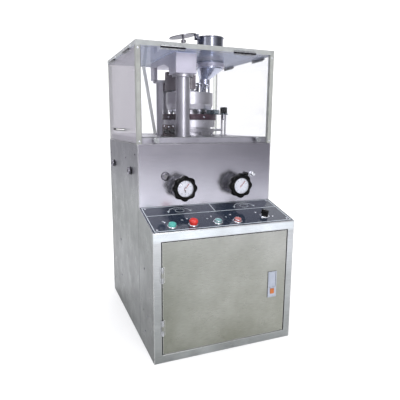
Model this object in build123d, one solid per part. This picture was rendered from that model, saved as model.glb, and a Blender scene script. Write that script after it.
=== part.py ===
from build123d import *
import os
from math import atan2, ceil, cos, degrees, radians, sin, sqrt

# A small single-sided rotary tablet press on a sheet-steel cabinet.
# Millimetres, +Z up, front towards -Y, origin at the middle of the footprint on the floor.

os.makedirs("parts", exist_ok=True)

# ---- cabinet ----
WIDTH = 480.0
DEPTH = 639.0
Y_FRONT = -DEPTH / 2
Y_BACK = DEPTH / 2
Y_PANEL = -157.0            # front plane of the upper housing
Z_LIP = 410.6               # front edge of the sloping console
Z_CONSOLE = 453.7           # back edge of the sloping console
Z_DECK = 655.0              # top of the cabinet, underside of the deck plate
SHEET = 3.0
FRAME_DEEP = 18.0           # depth of the folded door frame
HALF = WIDTH / 2
IN_X = HALF - SHEET         # inner face of a side wall

# ---- cabinet door ----
DOOR_X0, DOOR_X1 = -212.0, 213.5
DOOR_Z0, DOOR_Z1 = 28.0, 380.0
DOOR_GAP = 2.0
DOOR_PAN = 17.0
DOOR_PIN_X = -213.0
DOOR_HINGE_Z = (115.5, 282.5)
DOOR_HINGE_LONG = 47.0

# ---- door lock ----
LOCK_X = 164.0
LOCK_Z0, LOCK_Z1 = 156.0, 244.5
LOCK_HALF = 16.0
LEVER_HALF = 12.5
LEVER_Z0, LEVER_Z1 = 191.0, 241.0
LEVER_AXIS_Z = 236.5
LOCK_BUTTON_Z = 177.0
LOCK_BUTTON_HALF = (7.0, 8.5)

# ---- deck and acrylic cover ----
DECK_THICK = 20.0
Z_CHAMBER = Z_DECK + DECK_THICK
Z_SHEET = 950.0             # underside of the cover's top sheet
TOP_SHEET = 15.0
POST = 14.0
PANE = 8.0
PANE_GAP = 1.5
PANE_Z0, PANE_Z1 = Z_DECK + 1.5, Z_SHEET - 2.5
PANE_HALF_X = HALF - POST - PANE_GAP
PANE_Y0, PANE_Y1 = Y_PANEL + POST + PANE_GAP, Y_BACK - POST - PANE_GAP
COVER_HINGE_Z = Z_SHEET - 1.0
COVER_HINGE_LONG = 80.0
FRONT_HINGE_X = (-123.0, 126.0)
SIDE_HINGE_Y = (-42.0, 198.0)
KNOB_X, KNOB_Z = 182.0, 667.0

# ---- hinges ----
KNUCKLE_R = 3.6
LEAF_BACK = KNUCKLE_R + 0.4  # from the pin's axis to the face the leaves lie on
HINGE_PIN_R = 1.8
RUN_GAP = 0.05              # radial running clearance on pins and shafts
LEAF = 2.0
LEAF_HIGH = 7.0
LEAF_START = KNUCKLE_R + 0.6

# ---- turret ----
TX, TY = 8.0, 44.0
STATIONS = 9
STATION_0 = 1.0             # angle of the first station
PITCH_R = 66.0
DRUM_R, DRUM_Z0, DRUM_BEVEL_Z, DRUM_Z1 = 86.0, 770.0, 788.0, 830.0
TABLE_R, TABLE_Z0, TABLE_Z1 = 100.0, 733.0, 753.0
LOWER_R, LOWER_Z0 = 95.0, 707.0
BARREL_R, BARREL_Z0 = 79.0, 650.0
SHAFT_R, SHAFT_Z0, SHAFT_Z1 = 17.5, 470.0, 846.0
BORE_GAP = 0.08
PUNCH_R, TIP_R, NECK_R, HEAD_R = 9.5, 5.9, 6.0, 12.5
UPPER_TIP_Z, UPPER_BODY_Z, UPPER_NECK_Z = 747.0, 760.0, 848.0
UPPER_HEAD_Z, UPPER_TOP_Z = 855.0, 862.0
LOWER_TOP_Z, LOWER_BODY_Z, LOWER_NECK_Z = 745.0, 729.0, 626.0
LOWER_HEAD_Z, LOWER_END_Z = 619.0, 612.0

# ---- drive ----
MODULE = 2.5
GEAR_TEETH, PINION_TEETH = 80, 20
GEAR_Z0, GEAR_Z1 = 480.0, 498.0
LAYSHAFT_Y = TY + MODULE * (GEAR_TEETH + PINION_TEETH) / 2
LAYSHAFT_R = 8.0
MOTOR_X = -122.0
MOTOR_R = 58.0
PULLEY_PITCH, MOTOR_PITCH = 54.0, 21.6
BELT_Z0, BELT_Z1 = 441.0, 451.0
BELT_HALF = 3.0             # half of the belt's thickness

# ---- casting under the deck ----
CUP_R, CUP_IN_R = 104.0, 92.0
CUP_Z0, CUP_FLOOR = 578.0, 590.0
BOSS_R, BOSS_Z0 = 40.0, 508.0
TRACK_R0, TRACK_R1 = 52.0, 84.0
ROLLER_X = TX - PITCH_R
LOWER_ROLLER_R = 24.0
LOWER_ROLLER_Z = LOWER_END_Z - LOWER_ROLLER_R - 0.3

# ---- press frame ----
COLUMN_R = 23.5
COLUMN_X, COLUMN_Y = -60.0, (-72.0, 161.0)
COLUMN_TOP, COLLAR_TOP, COLLAR_R = 872.0, 881.0, 35.0
BRIDGE_X0, BRIDGE_X1 = -97.0, -23.0
BRIDGE_Y0, BRIDGE_Y1 = -107.0, 192.0
BRIDGE_Z1 = 947.0
REAR_LEG = 14.0             # the rear leg is a plate on the outer side
CAM_R0, CAM_R1 = 80.5, 89.5
CAM_Z0, CAM_Z1 = 836.0, 887.0
UPPER_ROLLER_R = 15.7
UPPER_ROLLER_Z = UPPER_TOP_Z + UPPER_ROLLER_R + 0.3
AXLE_R = 6.0

# ---- feeder and hopper ----
HOPPER_X, HOPPER_Y, HOPPER_R = 111.0, 95.0, 49.5
HOPPER_WALL = 2.0
RIM_Z, HOPPER_Z0, CONE_Z0, TUBE_Z0 = 1041.0, 926.0, 888.0, 768.5
TUBE_X, TUBE_Y, TUBE_R = 96.0, 109.0, 20.5
LID_AXIS_X, LID_AXIS_Z = HOPPER_X - HOPPER_R - 6.0, RIM_Z + 4.0
LID_R, LID_OPEN = 51.5, 190.0
FEED_Z0, FEED_Z1 = 753.4, 768.5
POST_X, POST_Y = 156.0, 58.0
LUG_Z0, LUG_Z1 = 755.0, 759.0

# ---- handwheels and front controls ----
WHEEL_X, WHEEL_Z = 100.0, 516.0
WHEEL_FACE, WHEEL_BACK, HUB_BACK = Y_PANEL - 55.0, Y_PANEL - 33.0, Y_PANEL - 4.0
WHEEL_R, LOBE_R, LOBES = 39.0, 6.0, 8
DIAL_R, DIAL_DEEP = 28.0, 6.0
WHEEL_SHAFT_R = 8.0
PLUG_X, PLUG_Z = -150.0, 552.0
LEVER_X, LEVER_Z = 168.0, 549.0
LATCH_Y, LATCH_Z = (-58.5, 230.0), 563.0
SLOPE_LONG = sqrt((Y_PANEL - Y_FRONT) ** 2 + (Z_CONSOLE - Z_LIP) ** 2)
SLOPE = atan2(Z_CONSOLE - Z_LIP, Y_PANEL - Y_FRONT)
console = Plane(
    origin=(0, Y_FRONT, Z_LIP), x_dir=(1, 0, 0), z_dir=(0, -sin(SLOPE), cos(SLOPE))
)
GREEN_X, STOP_X, START_X, LAMP_X, SELECTOR_X = -171.0, -103.5, -21.0, 45.5, 154.0
BUTTON_UP, LAMP_UP, SELECTOR_UP = 32.0, 29.0, 46.0      # distances up the slope
BUTTON_R, SELECTOR_R = 12.0, 11.0
HOLE_GAP = 0.4
STEM_DEEP = 12.0            # how far a button reaches below the console
SELECTOR_TURN = 30.0        # the grip points up and to the left at rest

# ---- sizes shared between pieces ----
BUSH_R, PLUG_R, LEVER_STEM_R, LEVER_LONG = 12.0, 10.0, 5.0, 26.4
LATCH_STEM_R = 6.0
LEVER_PIN_R, POINTER_PIN_R, POINTER_THICK = 1.2, 1.2, 0.8
LONG_POINTER_Y, SHORT_POINTER_Y = WHEEL_FACE + 2.2, WHEEL_FACE + 4.0
LOBE_OUT = WHEEL_R - 2.5
GLAND_X, GLAND_Z, GLAND_BODY_R, GLAND_BORE_R = -150.0, 80.0, 10.0, 5.0
DECK_HOLE_R = 84.0
STAY_Y = 302.0
SLOT_Y0, SLOT_Y1, SLOT_Z, SLOT_HALF = 21.0, 224.0, 697.0, 4.0
YOKE_Z = 895.5
ROLLER_HALF = 11.5
BOSS_Z1 = 600.0
STUD_R = 5.0
DRUM_BEVEL_R = 80.0
NOTCH_Z = 722.0
MOTOR_Z0, MOTOR_Z1, MOTOR_SHAFT_R = 190.0, 410.0, 7.0
CHUTE_FALL, CHUTE_Z = 15.0, 725.0


def block(x0, x1, y0, y1, z0, z1):
    centre = Pos((x0 + x1) / 2, (y0 + y1) / 2, (z0 + z1) / 2)
    return centre * Box(abs(x1 - x0), abs(y1 - y0), abs(z1 - z0))


def rod_x(y, z, x0, x1, r):
    return Pos((x0 + x1) / 2, y, z) * Rot(0, 90, 0) * Cylinder(r, abs(x1 - x0))


def rod_y(x, z, y0, y1, r):
    return Pos(x, (y0 + y1) / 2, z) * Rot(90, 0, 0) * Cylinder(r, abs(y1 - y0))


def rod_z(x, y, z0, z1, r):
    return Pos(x, y, (z0 + z1) / 2) * Cylinder(r, abs(z1 - z0))


def ring_z(x, y, z0, z1, outer, inner):
    return rod_z(x, y, z0, z1, outer) - rod_z(x, y, z0 - 1, z1 + 1, inner)


def plate_yz(points, x0, x1):
    """A flat plate with its outline in Y and Z, from x0 to x1."""
    outline = Plane.YZ.offset(x0) * make_face(Polyline(*points, close=True))
    return extrude(outline, amount=x1 - x0)


def sector(x, y, z0, z1, outer, inner, start, end):
    """Part of a ring about a vertical axis, between two angles in degrees."""
    far = outer * 1.5
    steps = ceil((end - start) / 60)
    fan = [(x, y)]
    for k in range(steps + 1):
        angle = radians(start + (end - start) * k / steps)
        fan.append((x + far * cos(angle), y + far * sin(angle)))
    wedge = extrude(Plane.XY.offset(z0) * make_face(Polyline(*fan, close=True)), amount=z1 - z0)
    return ring_z(x, y, z0, z1, outer, inner) & wedge


def station_points(radius):
    for k in range(STATIONS):
        angle = radians(STATION_0 + 360.0 / STATIONS * k)
        yield TX + radius * cos(angle), TY + radius * sin(angle)


def gear(teeth, z0, z1, bore, turned=0.0):
    """A spur gear with straight-flanked teeth, slightly thin so that the pair runs free."""
    pitch = MODULE * teeth / 2
    root, tip = pitch - 1.2 * MODULE, pitch + 0.9 * MODULE
    step = 360.0 / teeth
    points = []
    for k in range(teeth):
        middle = turned + step * k
        for radius, share in ((root, -0.33), (tip, -0.12), (tip, 0.12), (root, 0.33)):
            angle = radians(middle + share * step)
            points.append((radius * cos(angle), radius * sin(angle)))
    body = extrude(make_face(Polyline(*points, close=True)), amount=z1 - z0)
    return Pos(0, 0, z0) * body - rod_z(0, 0, z0 - 1, z1 + 1, bore)


def hinge(long, fixed):
    """One leaf of a butt hinge about local X: fixed leaf upwards, moving leaf downwards."""
    third = long / 6
    side = 1 if fixed else -1
    front = LEAF_BACK - LEAF
    leaf = block(-long / 2, long / 2, front, LEAF_BACK, side * LEAF_START, side * LEAF_HIGH)
    if fixed:
        for x0, x1 in ((-long / 2, -third), (third, long / 2)):
            leaf += block(x0, x1, front, LEAF_BACK, 0, LEAF_START) + rod_x(0, 0, x0, x1, KNUCKLE_R)
        return leaf + rod_x(0, 0, -third, third, HINGE_PIN_R)
    edge = third - 0.4
    leaf += block(-edge, edge, front, LEAF_BACK, -LEAF_START, 0) + rod_x(0, 0, -edge, edge, KNUCKLE_R)
    return leaf - rod_x(0, 0, -long, long, HINGE_PIN_R + RUN_GAP)


def save(name, shape):
    export_step(shape, f"parts/{name}.step")


def mirrored(shape):
    return mirror(shape, about=Plane.YZ)


# ---------------------------------------------------------------- cabinet

def cabinet_shell():
    outline = [(Y_FRONT, 0), (Y_BACK, 0), (Y_BACK, Z_DECK), (Y_PANEL, Z_DECK),
               (Y_PANEL, Z_CONSOLE), (Y_FRONT, Z_LIP)]
    over = 9.0
    hollow = [(Y_FRONT + SHEET, SHEET), (Y_BACK - SHEET, SHEET), (Y_BACK - SHEET, Z_DECK + over),
              (Y_PANEL - over, Z_DECK + over), (Y_PANEL - over, Z_CONSOLE + over),
              (Y_FRONT + SHEET, Z_LIP + over)]
    shell = plate_yz(outline, -HALF, HALF) - plate_yz(hollow, -IN_X, IN_X)
    shell += block(-IN_X, IN_X, Y_FRONT, Y_FRONT + FRAME_DEEP, SHEET, Z_LIP - SHEET - 1)
    shell -= block(DOOR_X0 - DOOR_GAP, DOOR_X1 + DOOR_GAP, Y_FRONT - 1, Y_FRONT + FRAME_DEEP + 1,
                   DOOR_Z0 - DOOR_GAP, DOOR_Z1 + DOOR_GAP)
    ledge = block(-IN_X, IN_X, Y_PANEL + SHEET, Y_BACK - SHEET, Z_DECK - SHEET, Z_DECK)
    shell += ledge - block(-IN_X + 22, IN_X - 22, Y_PANEL + 28, Y_BACK - 25, Z_DECK - 9, Z_DECK + 1)
    for y in LATCH_Y:
        shell -= rod_x(y, LATCH_Z, -HALF - 1, -IN_X + 1, LATCH_STEM_R + HOLE_GAP)
    shell -= console * Pos(0, SLOPE_LONG / 2, 0) * Box(2 * IN_X, SLOPE_LONG, 2 * SHEET)
    return shell - rod_y(GLAND_X, GLAND_Z, Y_BACK - 9, Y_BACK + 1, GLAND_BODY_R)


def upper_front_panel():
    panel = block(-IN_X, IN_X, Y_PANEL, Y_PANEL + SHEET, Z_CONSOLE, Z_DECK)
    holes = [(-WHEEL_X, WHEEL_Z, BUSH_R), (WHEEL_X, WHEEL_Z, BUSH_R),
             (PLUG_X, PLUG_Z, PLUG_R + HOLE_GAP), (LEVER_X, LEVER_Z, LEVER_STEM_R + HOLE_GAP)]
    for x, z, r in holes:
        panel -= rod_y(x, z, Y_PANEL - 1, Y_PANEL + 9, r)
    return panel


def control_panel():
    panel = Pos(0, SLOPE_LONG / 2, -SHEET / 2) * Box(2 * IN_X, SLOPE_LONG - 1.0, SHEET)
    holes = [(GREEN_X, BUTTON_UP, BUTTON_R), (STOP_X, BUTTON_UP, BUTTON_R),
             (START_X, BUTTON_UP, BUTTON_R), (LAMP_X, LAMP_UP, BUTTON_R),
             (SELECTOR_X, SELECTOR_UP, SELECTOR_R)]
    for x, up, r in holes:
        panel -= Pos(x, up, 0) * Cylinder(r + HOLE_GAP, 4 * SHEET)
    return console * panel


def cabinet_door():
    skin = 2.0
    y1 = Y_FRONT + DOOR_PAN
    door = block(DOOR_X0, DOOR_X1, Y_FRONT, y1, DOOR_Z0, DOOR_Z1)
    door -= block(DOOR_X0 + skin, DOOR_X1 - skin, Y_FRONT + skin, y1 + 1, DOOR_Z0 + skin, DOOR_Z1 - skin)
    door -= block(LOCK_X - LOCK_HALF + 2, LOCK_X + LOCK_HALF - 2, Y_FRONT - 1, Y_FRONT + 9,
                  LOCK_Z0 + 2, LOCK_Z1 - 2)
    return door + door_hinges(fixed=False)


def door_hinges(fixed):
    leaves = Part()
    for z in DOOR_HINGE_Z:
        place = Pos(DOOR_PIN_X, Y_FRONT - LEAF_BACK, z) * Rot(0, -90, 0)
        leaves += place * hinge(DOOR_HINGE_LONG, fixed)
    return leaves


def lock_body():
    edge = 2.2
    body = block(LOCK_X - LOCK_HALF, LOCK_X + LOCK_HALF, Y_FRONT - 2, Y_FRONT, LOCK_Z0, LOCK_Z1)
    body += block(LOCK_X - LOCK_HALF + edge, LOCK_X + LOCK_HALF - edge, Y_FRONT, Y_FRONT + 20,
                  LOCK_Z0 + edge, LOCK_Z1 - edge)
    body -= block(LOCK_X - LEVER_HALF - 0.3, LOCK_X + LEVER_HALF + 0.3, Y_FRONT - 3, Y_FRONT + 8,
                  LEVER_Z0 - 0.4, LEVER_Z1 + 1.0)
    half_x, half_z = LOCK_BUTTON_HALF
    body -= block(LOCK_X - half_x - 0.3, LOCK_X + half_x + 0.3, Y_FRONT - 3, Y_FRONT + 12,
                  LOCK_BUTTON_Z - half_z - 0.3, LOCK_BUTTON_Z + half_z + 0.3)
    return body + rod_x(Y_FRONT, LEVER_AXIS_Z, LOCK_X - LOCK_HALF + edge, LOCK_X + LOCK_HALF - edge,
                        LEVER_PIN_R)


def lock_lever():
    lever = block(LOCK_X - LEVER_HALF, LOCK_X + LEVER_HALF, Y_FRONT - 2, Y_FRONT + 2, LEVER_Z0, LEVER_Z1)
    lever = fillet(lever.edges().filter_by(Axis.Z), 1.2)
    return lever - rod_x(Y_FRONT, LEVER_AXIS_Z, LOCK_X - 20, LOCK_X + 20, LEVER_PIN_R + RUN_GAP)


def lock_button():
    half_x, half_z = LOCK_BUTTON_HALF
    return block(LOCK_X - half_x, LOCK_X + half_x, Y_FRONT - 4, Y_FRONT + 7,
                 LOCK_BUTTON_Z - half_z, LOCK_BUTTON_Z + half_z)


def side_latch(y):
    stem = rod_x(y, LATCH_Z, -HALF - 3, -HALF + 14, LATCH_STEM_R)
    collar = rod_x(y, LATCH_Z, -HALF - 3, -HALF - 0.4, 9.0)
    knob = rod_x(y, LATCH_Z, -HALF - 12, -HALF - 3, 12.5)
    tongue = block(-HALF + 10, -HALF + 13, y - 7, y + 7, LATCH_Z - 22, LATCH_Z + 7)
    return stem + collar + knob + tongue


def cable_gland():
    gland = rod_y(GLAND_X, GLAND_Z, Y_BACK - 8, Y_BACK + 11, GLAND_BODY_R)
    gland += rod_y(GLAND_X, GLAND_Z, Y_BACK, Y_BACK + 4, 15.0)
    return gland - rod_y(GLAND_X, GLAND_Z, Y_BACK - 20, Y_BACK + 20, GLAND_BORE_R)


# ---------------------------------------------------------------- cover

def corner_post(x, y):
    return block(x, x + POST, y, y + POST, Z_DECK, Z_SHEET)


def corner_posts():
    posts = Part()
    for x in (-HALF, HALF - POST):
        for y in (Y_PANEL, Y_BACK - POST):
            posts += corner_post(x, y)
    return posts


def deck_plate():
    side = PANE + 0.8
    deck = block(-HALF + side, HALF - side, Y_PANEL + side, Y_BACK - side, Z_DECK, Z_CHAMBER)
    reach = POST + 0.3
    for x in (-HALF, HALF):
        for y in (Y_PANEL, Y_BACK):
            deck -= block(x - reach, x + reach, y - reach, y + reach, Z_DECK - 1, Z_CHAMBER + 1)
    return deck - rod_z(TX, TY, Z_DECK - 1, Z_CHAMBER + 1, DECK_HOLE_R)


def cover_top():
    top = block(-HALF, HALF, Y_PANEL, Y_BACK, Z_SHEET, Z_SHEET + TOP_SHEET)
    return top - rod_z(HOPPER_X, HOPPER_Y, Z_SHEET - 1, Z_SHEET + TOP_SHEET + 1, HOPPER_R + 1.5)


def rear_cover_panel():
    x = HALF - POST
    return block(-x, x, Y_BACK - PANE, Y_BACK, Z_DECK, Z_SHEET)


def stay_bar():
    low, high = Vector(-50, STAY_Y, Z_CHAMBER), Vector(-96, STAY_Y, Z_SHEET)
    lean = degrees(atan2(high.X - low.X, high.Z - low.Z))
    middle = (low + high) * 0.5
    bar = Pos(middle.X, middle.Y, middle.Z) * Rot(0, lean, 0) * Box(13, 6, (high - low).length + 20)
    return bar & block(-HALF, HALF, 0, Y_BACK, Z_CHAMBER, Z_SHEET)


def front_door():
    return block(-PANE_HALF_X, PANE_HALF_X, Y_PANEL, Y_PANEL + PANE, PANE_Z0, PANE_Z1)


def front_door_fittings():
    fittings = Part()
    for x in FRONT_HINGE_X:
        fittings += Pos(x, Y_PANEL - LEAF_BACK, COVER_HINGE_Z) * hinge(COVER_HINGE_LONG, False)
    for x in (-KNOB_X, KNOB_X):
        fittings += rod_y(x, KNOB_Z, Y_PANEL - 6, Y_PANEL, 5) + rod_y(x, KNOB_Z, Y_PANEL - 17, Y_PANEL - 6, 8.5)
    return fittings


def side_pane():
    return block(-HALF, -HALF + PANE, PANE_Y0, PANE_Y1, PANE_Z0, PANE_Z1)


def left_door():
    slot = block(-HALF - 1, -HALF + PANE + 1, SLOT_Y0, SLOT_Y1, SLOT_Z - SLOT_HALF, SLOT_Z + SLOT_HALF)
    return side_pane() - slot


def left_door_leaves(fixed=False):
    leaves = Part()
    for y in SIDE_HINGE_Y:
        leaves += Pos(-HALF - LEAF_BACK, y, COVER_HINGE_Z) * Rot(0, 0, -90) * hinge(COVER_HINGE_LONG, fixed)
    return leaves


def fixed_hinge_leaves():
    leaves = left_door_leaves(fixed=True) + mirrored(left_door_leaves(fixed=True)) + door_hinges(fixed=True)
    for x in FRONT_HINGE_X:
        leaves += Pos(x, Y_PANEL - LEAF_BACK, COVER_HINGE_Z) * hinge(COVER_HINGE_LONG, True)
    return leaves


# ---------------------------------------------------------------- press frame

def tie_columns():
    columns = Part()
    for y in COLUMN_Y:
        columns += rod_z(COLUMN_X, y, Z_CHAMBER, COLUMN_TOP, COLUMN_R)
        columns += rod_z(COLUMN_X, y, COLUMN_TOP, COLLAR_TOP, COLLAR_R)
        columns += rod_z(COLUMN_X, y, Z_CHAMBER, Z_CHAMBER + 6, COLUMN_R + 5)
    return columns


def bridge_casting():
    foot = COLLAR_TOP
    outline = [(BRIDGE_Y0, foot), (BRIDGE_Y0, BRIDGE_Z1), (BRIDGE_Y1, BRIDGE_Z1), (BRIDGE_Y1, foot),
               (BRIDGE_Y1 - 45, foot), (BRIDGE_Y1 - 45, 926), (15, 922), (-33, 908), (-43, foot)]
    casting = plate_yz(outline, BRIDGE_X0, BRIDGE_X1)
    casting = chamfer(casting.faces().sort_by(Axis.Y)[0].edges(), 2.0)
    return casting - block(BRIDGE_X0 + REAR_LEG, BRIDGE_X1 + 1, BRIDGE_Y1 - 50, BRIDGE_Y1 + 1, foot - 1, 926)


def cam_housing():
    """The half-ring round the punch heads, its two lugs to the columns and the roller's yoke."""
    housing = sector(TX, TY, CAM_Z0, CAM_Z1, CAM_R1, CAM_R0, 100, 250)
    for y in COLUMN_Y:
        away = atan2(y - TY, COLUMN_X - TX)
        middle = CAM_R1 + 13
        place = Pos(TX + middle * cos(away), TY + middle * sin(away), CAM_Z0 + 20)
        lug = place * Rot(0, 0, degrees(away)) * Box(36, 30, 30)
        housing += lug - rod_z(COLUMN_X, y, CAM_Z0, CAM_Z1, COLUMN_R)
    housing -= rod_z(TX, TY, CAM_Z0 - 1, CAM_Z1 + 1, CAM_R0)
    outer, inner = TX - CAM_R1, ROLLER_X + 24
    yoke = block(outer, inner, TY - 12, TY + 12, YOKE_Z, YOKE_Z + 5)
    yoke += block(outer, outer + 7, TY - 12, TY + 12, CAM_Z1 - 8, YOKE_Z + 5)
    yoke += block(inner - 7, inner, TY - 12, TY + 12, UPPER_ROLLER_Z - 9, YOKE_Z + 5)
    return housing + yoke + rod_x(TY, UPPER_ROLLER_Z, outer, inner, AXLE_R)


def pressure_roller(z, radius):
    wheel = rod_x(TY, z, ROLLER_X - ROLLER_HALF, ROLLER_X + ROLLER_HALF, radius)
    return wheel - rod_x(TY, z, ROLLER_X - 20, ROLLER_X + 20, AXLE_R + RUN_GAP)


def turret_housing():
    """The cup under the deck: shaft boss, lower cam track, roller window and layshaft arm."""
    cup = rod_z(TX, TY, CUP_Z0, Z_DECK, CUP_R) - rod_z(TX, TY, CUP_FLOOR, Z_DECK + 1, CUP_IN_R)
    cup += ring_z(TX, TY, CUP_FLOOR, LOWER_END_Z - 0.3, TRACK_R1, TRACK_R0)
    cup += rod_z(TX, TY, BOSS_Z0, BOSS_Z1, BOSS_R)
    cup += block(TX - 20, TX + 20, TY + 20, LAYSHAFT_Y, BOSS_Z0, BOSS_Z0 + 20)
    cup += rod_z(TX, LAYSHAFT_Y, BOSS_Z0, BOSS_Z0 + 20, 24)
    half_y = LOWER_ROLLER_R + 4
    cup -= block(ROLLER_X - 15, ROLLER_X + 15, TY - half_y, TY + half_y, CUP_Z0 - 20, LOWER_END_Z + 5)
    cup += rod_x(TY, LOWER_ROLLER_Z, ROLLER_X - 20, ROLLER_X + 20, AXLE_R)
    cup -= rod_z(TX, TY, BOSS_Z0 - 1, Z_DECK, SHAFT_R + RUN_GAP)
    return cup - rod_z(TX, LAYSHAFT_Y, BOSS_Z0 - 1, BOSS_Z0 + 21, LAYSHAFT_R + RUN_GAP)


def dust_ring():
    ring = ring_z(TX, TY, Z_CHAMBER, Z_CHAMBER + 4, 98, 85)
    ring += ring_z(TX, TY, Z_CHAMBER + 15, Z_CHAMBER + 27, 93, 85)
    for k in range(STATIONS):
        angle = radians(360.0 / STATIONS * k)
        x, y = TX + 89 * cos(angle), TY + 89 * sin(angle)
        ring += rod_z(x, y, Z_CHAMBER + 4, Z_CHAMBER + 15, 3.5)
    return ring


def clamp_post():
    post = rod_z(POST_X, POST_Y, LUG_Z0 - 20, LUG_Z0, 10)
    post += rod_z(POST_X, POST_Y, LUG_Z0, LUG_Z0 + 20, STUD_R)
    for x in (POST_X - 7, POST_X + 7):
        post += rod_z(x, POST_Y, Z_CHAMBER, LUG_Z0 - 20, 3.5)
    post += block(POST_X - 13, POST_X + 13, POST_Y - 8, POST_Y + 8, Z_CHAMBER, Z_CHAMBER + 4)
    return post + rod_x(POST_Y, Z_CHAMBER + 22, TX + 93.8, POST_X - 4, 4)


def clamp_knob():
    knob = rod_z(POST_X, POST_Y, LUG_Z1 + 0.5, LUG_Z1 + 24, 13.5)
    return knob - rod_z(POST_X, POST_Y, LUG_Z1 - 1, LUG_Z0 + 21, STUD_R + RUN_GAP)


# ---------------------------------------------------------------- turret

def turret_shaft():
    shaft = rod_z(TX, TY, SHAFT_Z0, SHAFT_Z1, SHAFT_R)
    shaft += rod_z(TX, TY, BOSS_Z1 + 0.6, BARREL_Z0, 34)
    shaft += rod_z(TX, TY, TABLE_Z1, DRUM_Z0, 42)
    return shaft + Pos(TX, TY, DRUM_Z1) * extrude(RegularPolygon(24, 6), amount=10)


def bored(disc, radius):
    """Cut the shaft's bore and one hole at each station."""
    disc -= rod_z(TX, TY, SHAFT_Z0, SHAFT_Z1, SHAFT_R + BORE_GAP)
    for x, y in station_points(PITCH_R):
        disc -= rod_z(x, y, SHAFT_Z0, SHAFT_Z1, radius)
    return disc


def upper_drum():
    drum = rod_z(TX, TY, DRUM_BEVEL_Z, DRUM_Z1, DRUM_R)
    bevel = DRUM_BEVEL_Z - DRUM_Z0
    drum += Pos(TX, TY, (DRUM_Z0 + DRUM_BEVEL_Z) / 2) * Cone(DRUM_BEVEL_R, DRUM_R, bevel)
    return bored(drum, PUNCH_R + BORE_GAP)


def die_table():
    return bored(rod_z(TX, TY, TABLE_Z0, TABLE_Z1, TABLE_R), TIP_R + BORE_GAP)


def lower_drum():
    drum = rod_z(TX, TY, LOWER_Z0, TABLE_Z0, LOWER_R) + rod_z(TX, TY, BARREL_Z0, LOWER_Z0, BARREL_R)
    drum = bored(drum, PUNCH_R + BORE_GAP)
    for k in range(STATIONS):
        angle = STATION_0 + 360.0 / STATIONS * k
        slot = Pos(TX, TY, 0) * Rot(0, 0, angle) * Pos(LOWER_R, 0, NOTCH_Z) * Box(8, 7, 8)
        drum -= slot
    return drum


def punches(levels):
    """One punch at every station, from (z, z, radius) steps."""
    group = Part()
    for x, y in station_points(PITCH_R):
        for z0, z1, r in levels:
            group += rod_z(x, y, z0, z1, r)
    return group


def upper_punches():
    return punches([(UPPER_TIP_Z, UPPER_BODY_Z, TIP_R), (UPPER_BODY_Z, UPPER_NECK_Z, PUNCH_R),
                    (UPPER_NECK_Z, UPPER_HEAD_Z, NECK_R), (UPPER_HEAD_Z, UPPER_TOP_Z, HEAD_R)])


def lower_punches():
    return punches([(LOWER_END_Z, LOWER_HEAD_Z, HEAD_R), (LOWER_HEAD_Z, LOWER_NECK_Z, NECK_R),
                    (LOWER_NECK_Z, LOWER_BODY_Z, PUNCH_R), (LOWER_BODY_Z, LOWER_TOP_Z, TIP_R)])


# ---------------------------------------------------------------- drive

def main_gear():
    return Pos(TX, TY, 0) * gear(GEAR_TEETH, GEAR_Z0, GEAR_Z1, SHAFT_R + BORE_GAP)


def pulley(x, y, pitch, shaft_r):
    groove = pitch - BELT_HALF - 0.4
    rim = pitch + BELT_HALF + 3
    wheel = rod_z(x, y, BELT_Z0 - 5, BELT_Z1 + 5, rim)
    wheel -= ring_z(x, y, BELT_Z0 - 0.5, BELT_Z1 + 0.5, rim + 1, groove)
    return wheel + rod_z(x, y, BELT_Z0 - 12, BELT_Z1 + 12, shaft_r + 5)


def layshaft():
    shaft = rod_z(TX, LAYSHAFT_Y, BELT_Z0 - 12, BOSS_Z0 + 28, LAYSHAFT_R)
    shaft += pulley(TX, LAYSHAFT_Y, PULLEY_PITCH, LAYSHAFT_R)
    half_tooth = 180.0 / PINION_TEETH
    shaft += Pos(TX, LAYSHAFT_Y, 0) * gear(PINION_TEETH, GEAR_Z0, GEAR_Z1, LAYSHAFT_R / 2, 90 + half_tooth)
    shaft += rod_z(TX, LAYSHAFT_Y, GEAR_Z0, GEAR_Z1, LAYSHAFT_R)
    shaft += rod_z(TX, LAYSHAFT_Y, GEAR_Z1, BOSS_Z0 - 0.5, 12)
    return shaft + rod_z(TX, LAYSHAFT_Y, BOSS_Z0 + 20.5, BOSS_Z0 + 27, 13)


def motor_pulley():
    shaft = rod_z(MOTOR_X, LAYSHAFT_Y, MOTOR_Z1 - 30, BELT_Z1 + 12, MOTOR_SHAFT_R)
    return shaft + pulley(MOTOR_X, LAYSHAFT_Y, MOTOR_PITCH, MOTOR_SHAFT_R)


def motor_casing():
    casing = rod_z(MOTOR_X, LAYSHAFT_Y, MOTOR_Z0, MOTOR_Z1, MOTOR_R)
    casing += rod_z(MOTOR_X, LAYSHAFT_Y, MOTOR_Z1 - 12, MOTOR_Z1, MOTOR_R + 10)
    casing += block(MOTOR_X - 35, MOTOR_X + 35, LAYSHAFT_Y, Y_BACK - SHEET, MOTOR_Z1 - 12, MOTOR_Z1)
    casing += block(MOTOR_X - 35, MOTOR_X + 35, Y_BACK - SHEET - 10, Y_BACK - SHEET, MOTOR_Z0, MOTOR_Z1)
    casing += block(MOTOR_X - 30, MOTOR_X + 30, LAYSHAFT_Y - MOTOR_R - 22, LAYSHAFT_Y, MOTOR_Z0 + 60,
                    MOTOR_Z0 + 130)
    return casing - rod_z(MOTOR_X, LAYSHAFT_Y, MOTOR_Z1 - 31, MOTOR_Z1 + 1, MOTOR_SHAFT_R + RUN_GAP)


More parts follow.
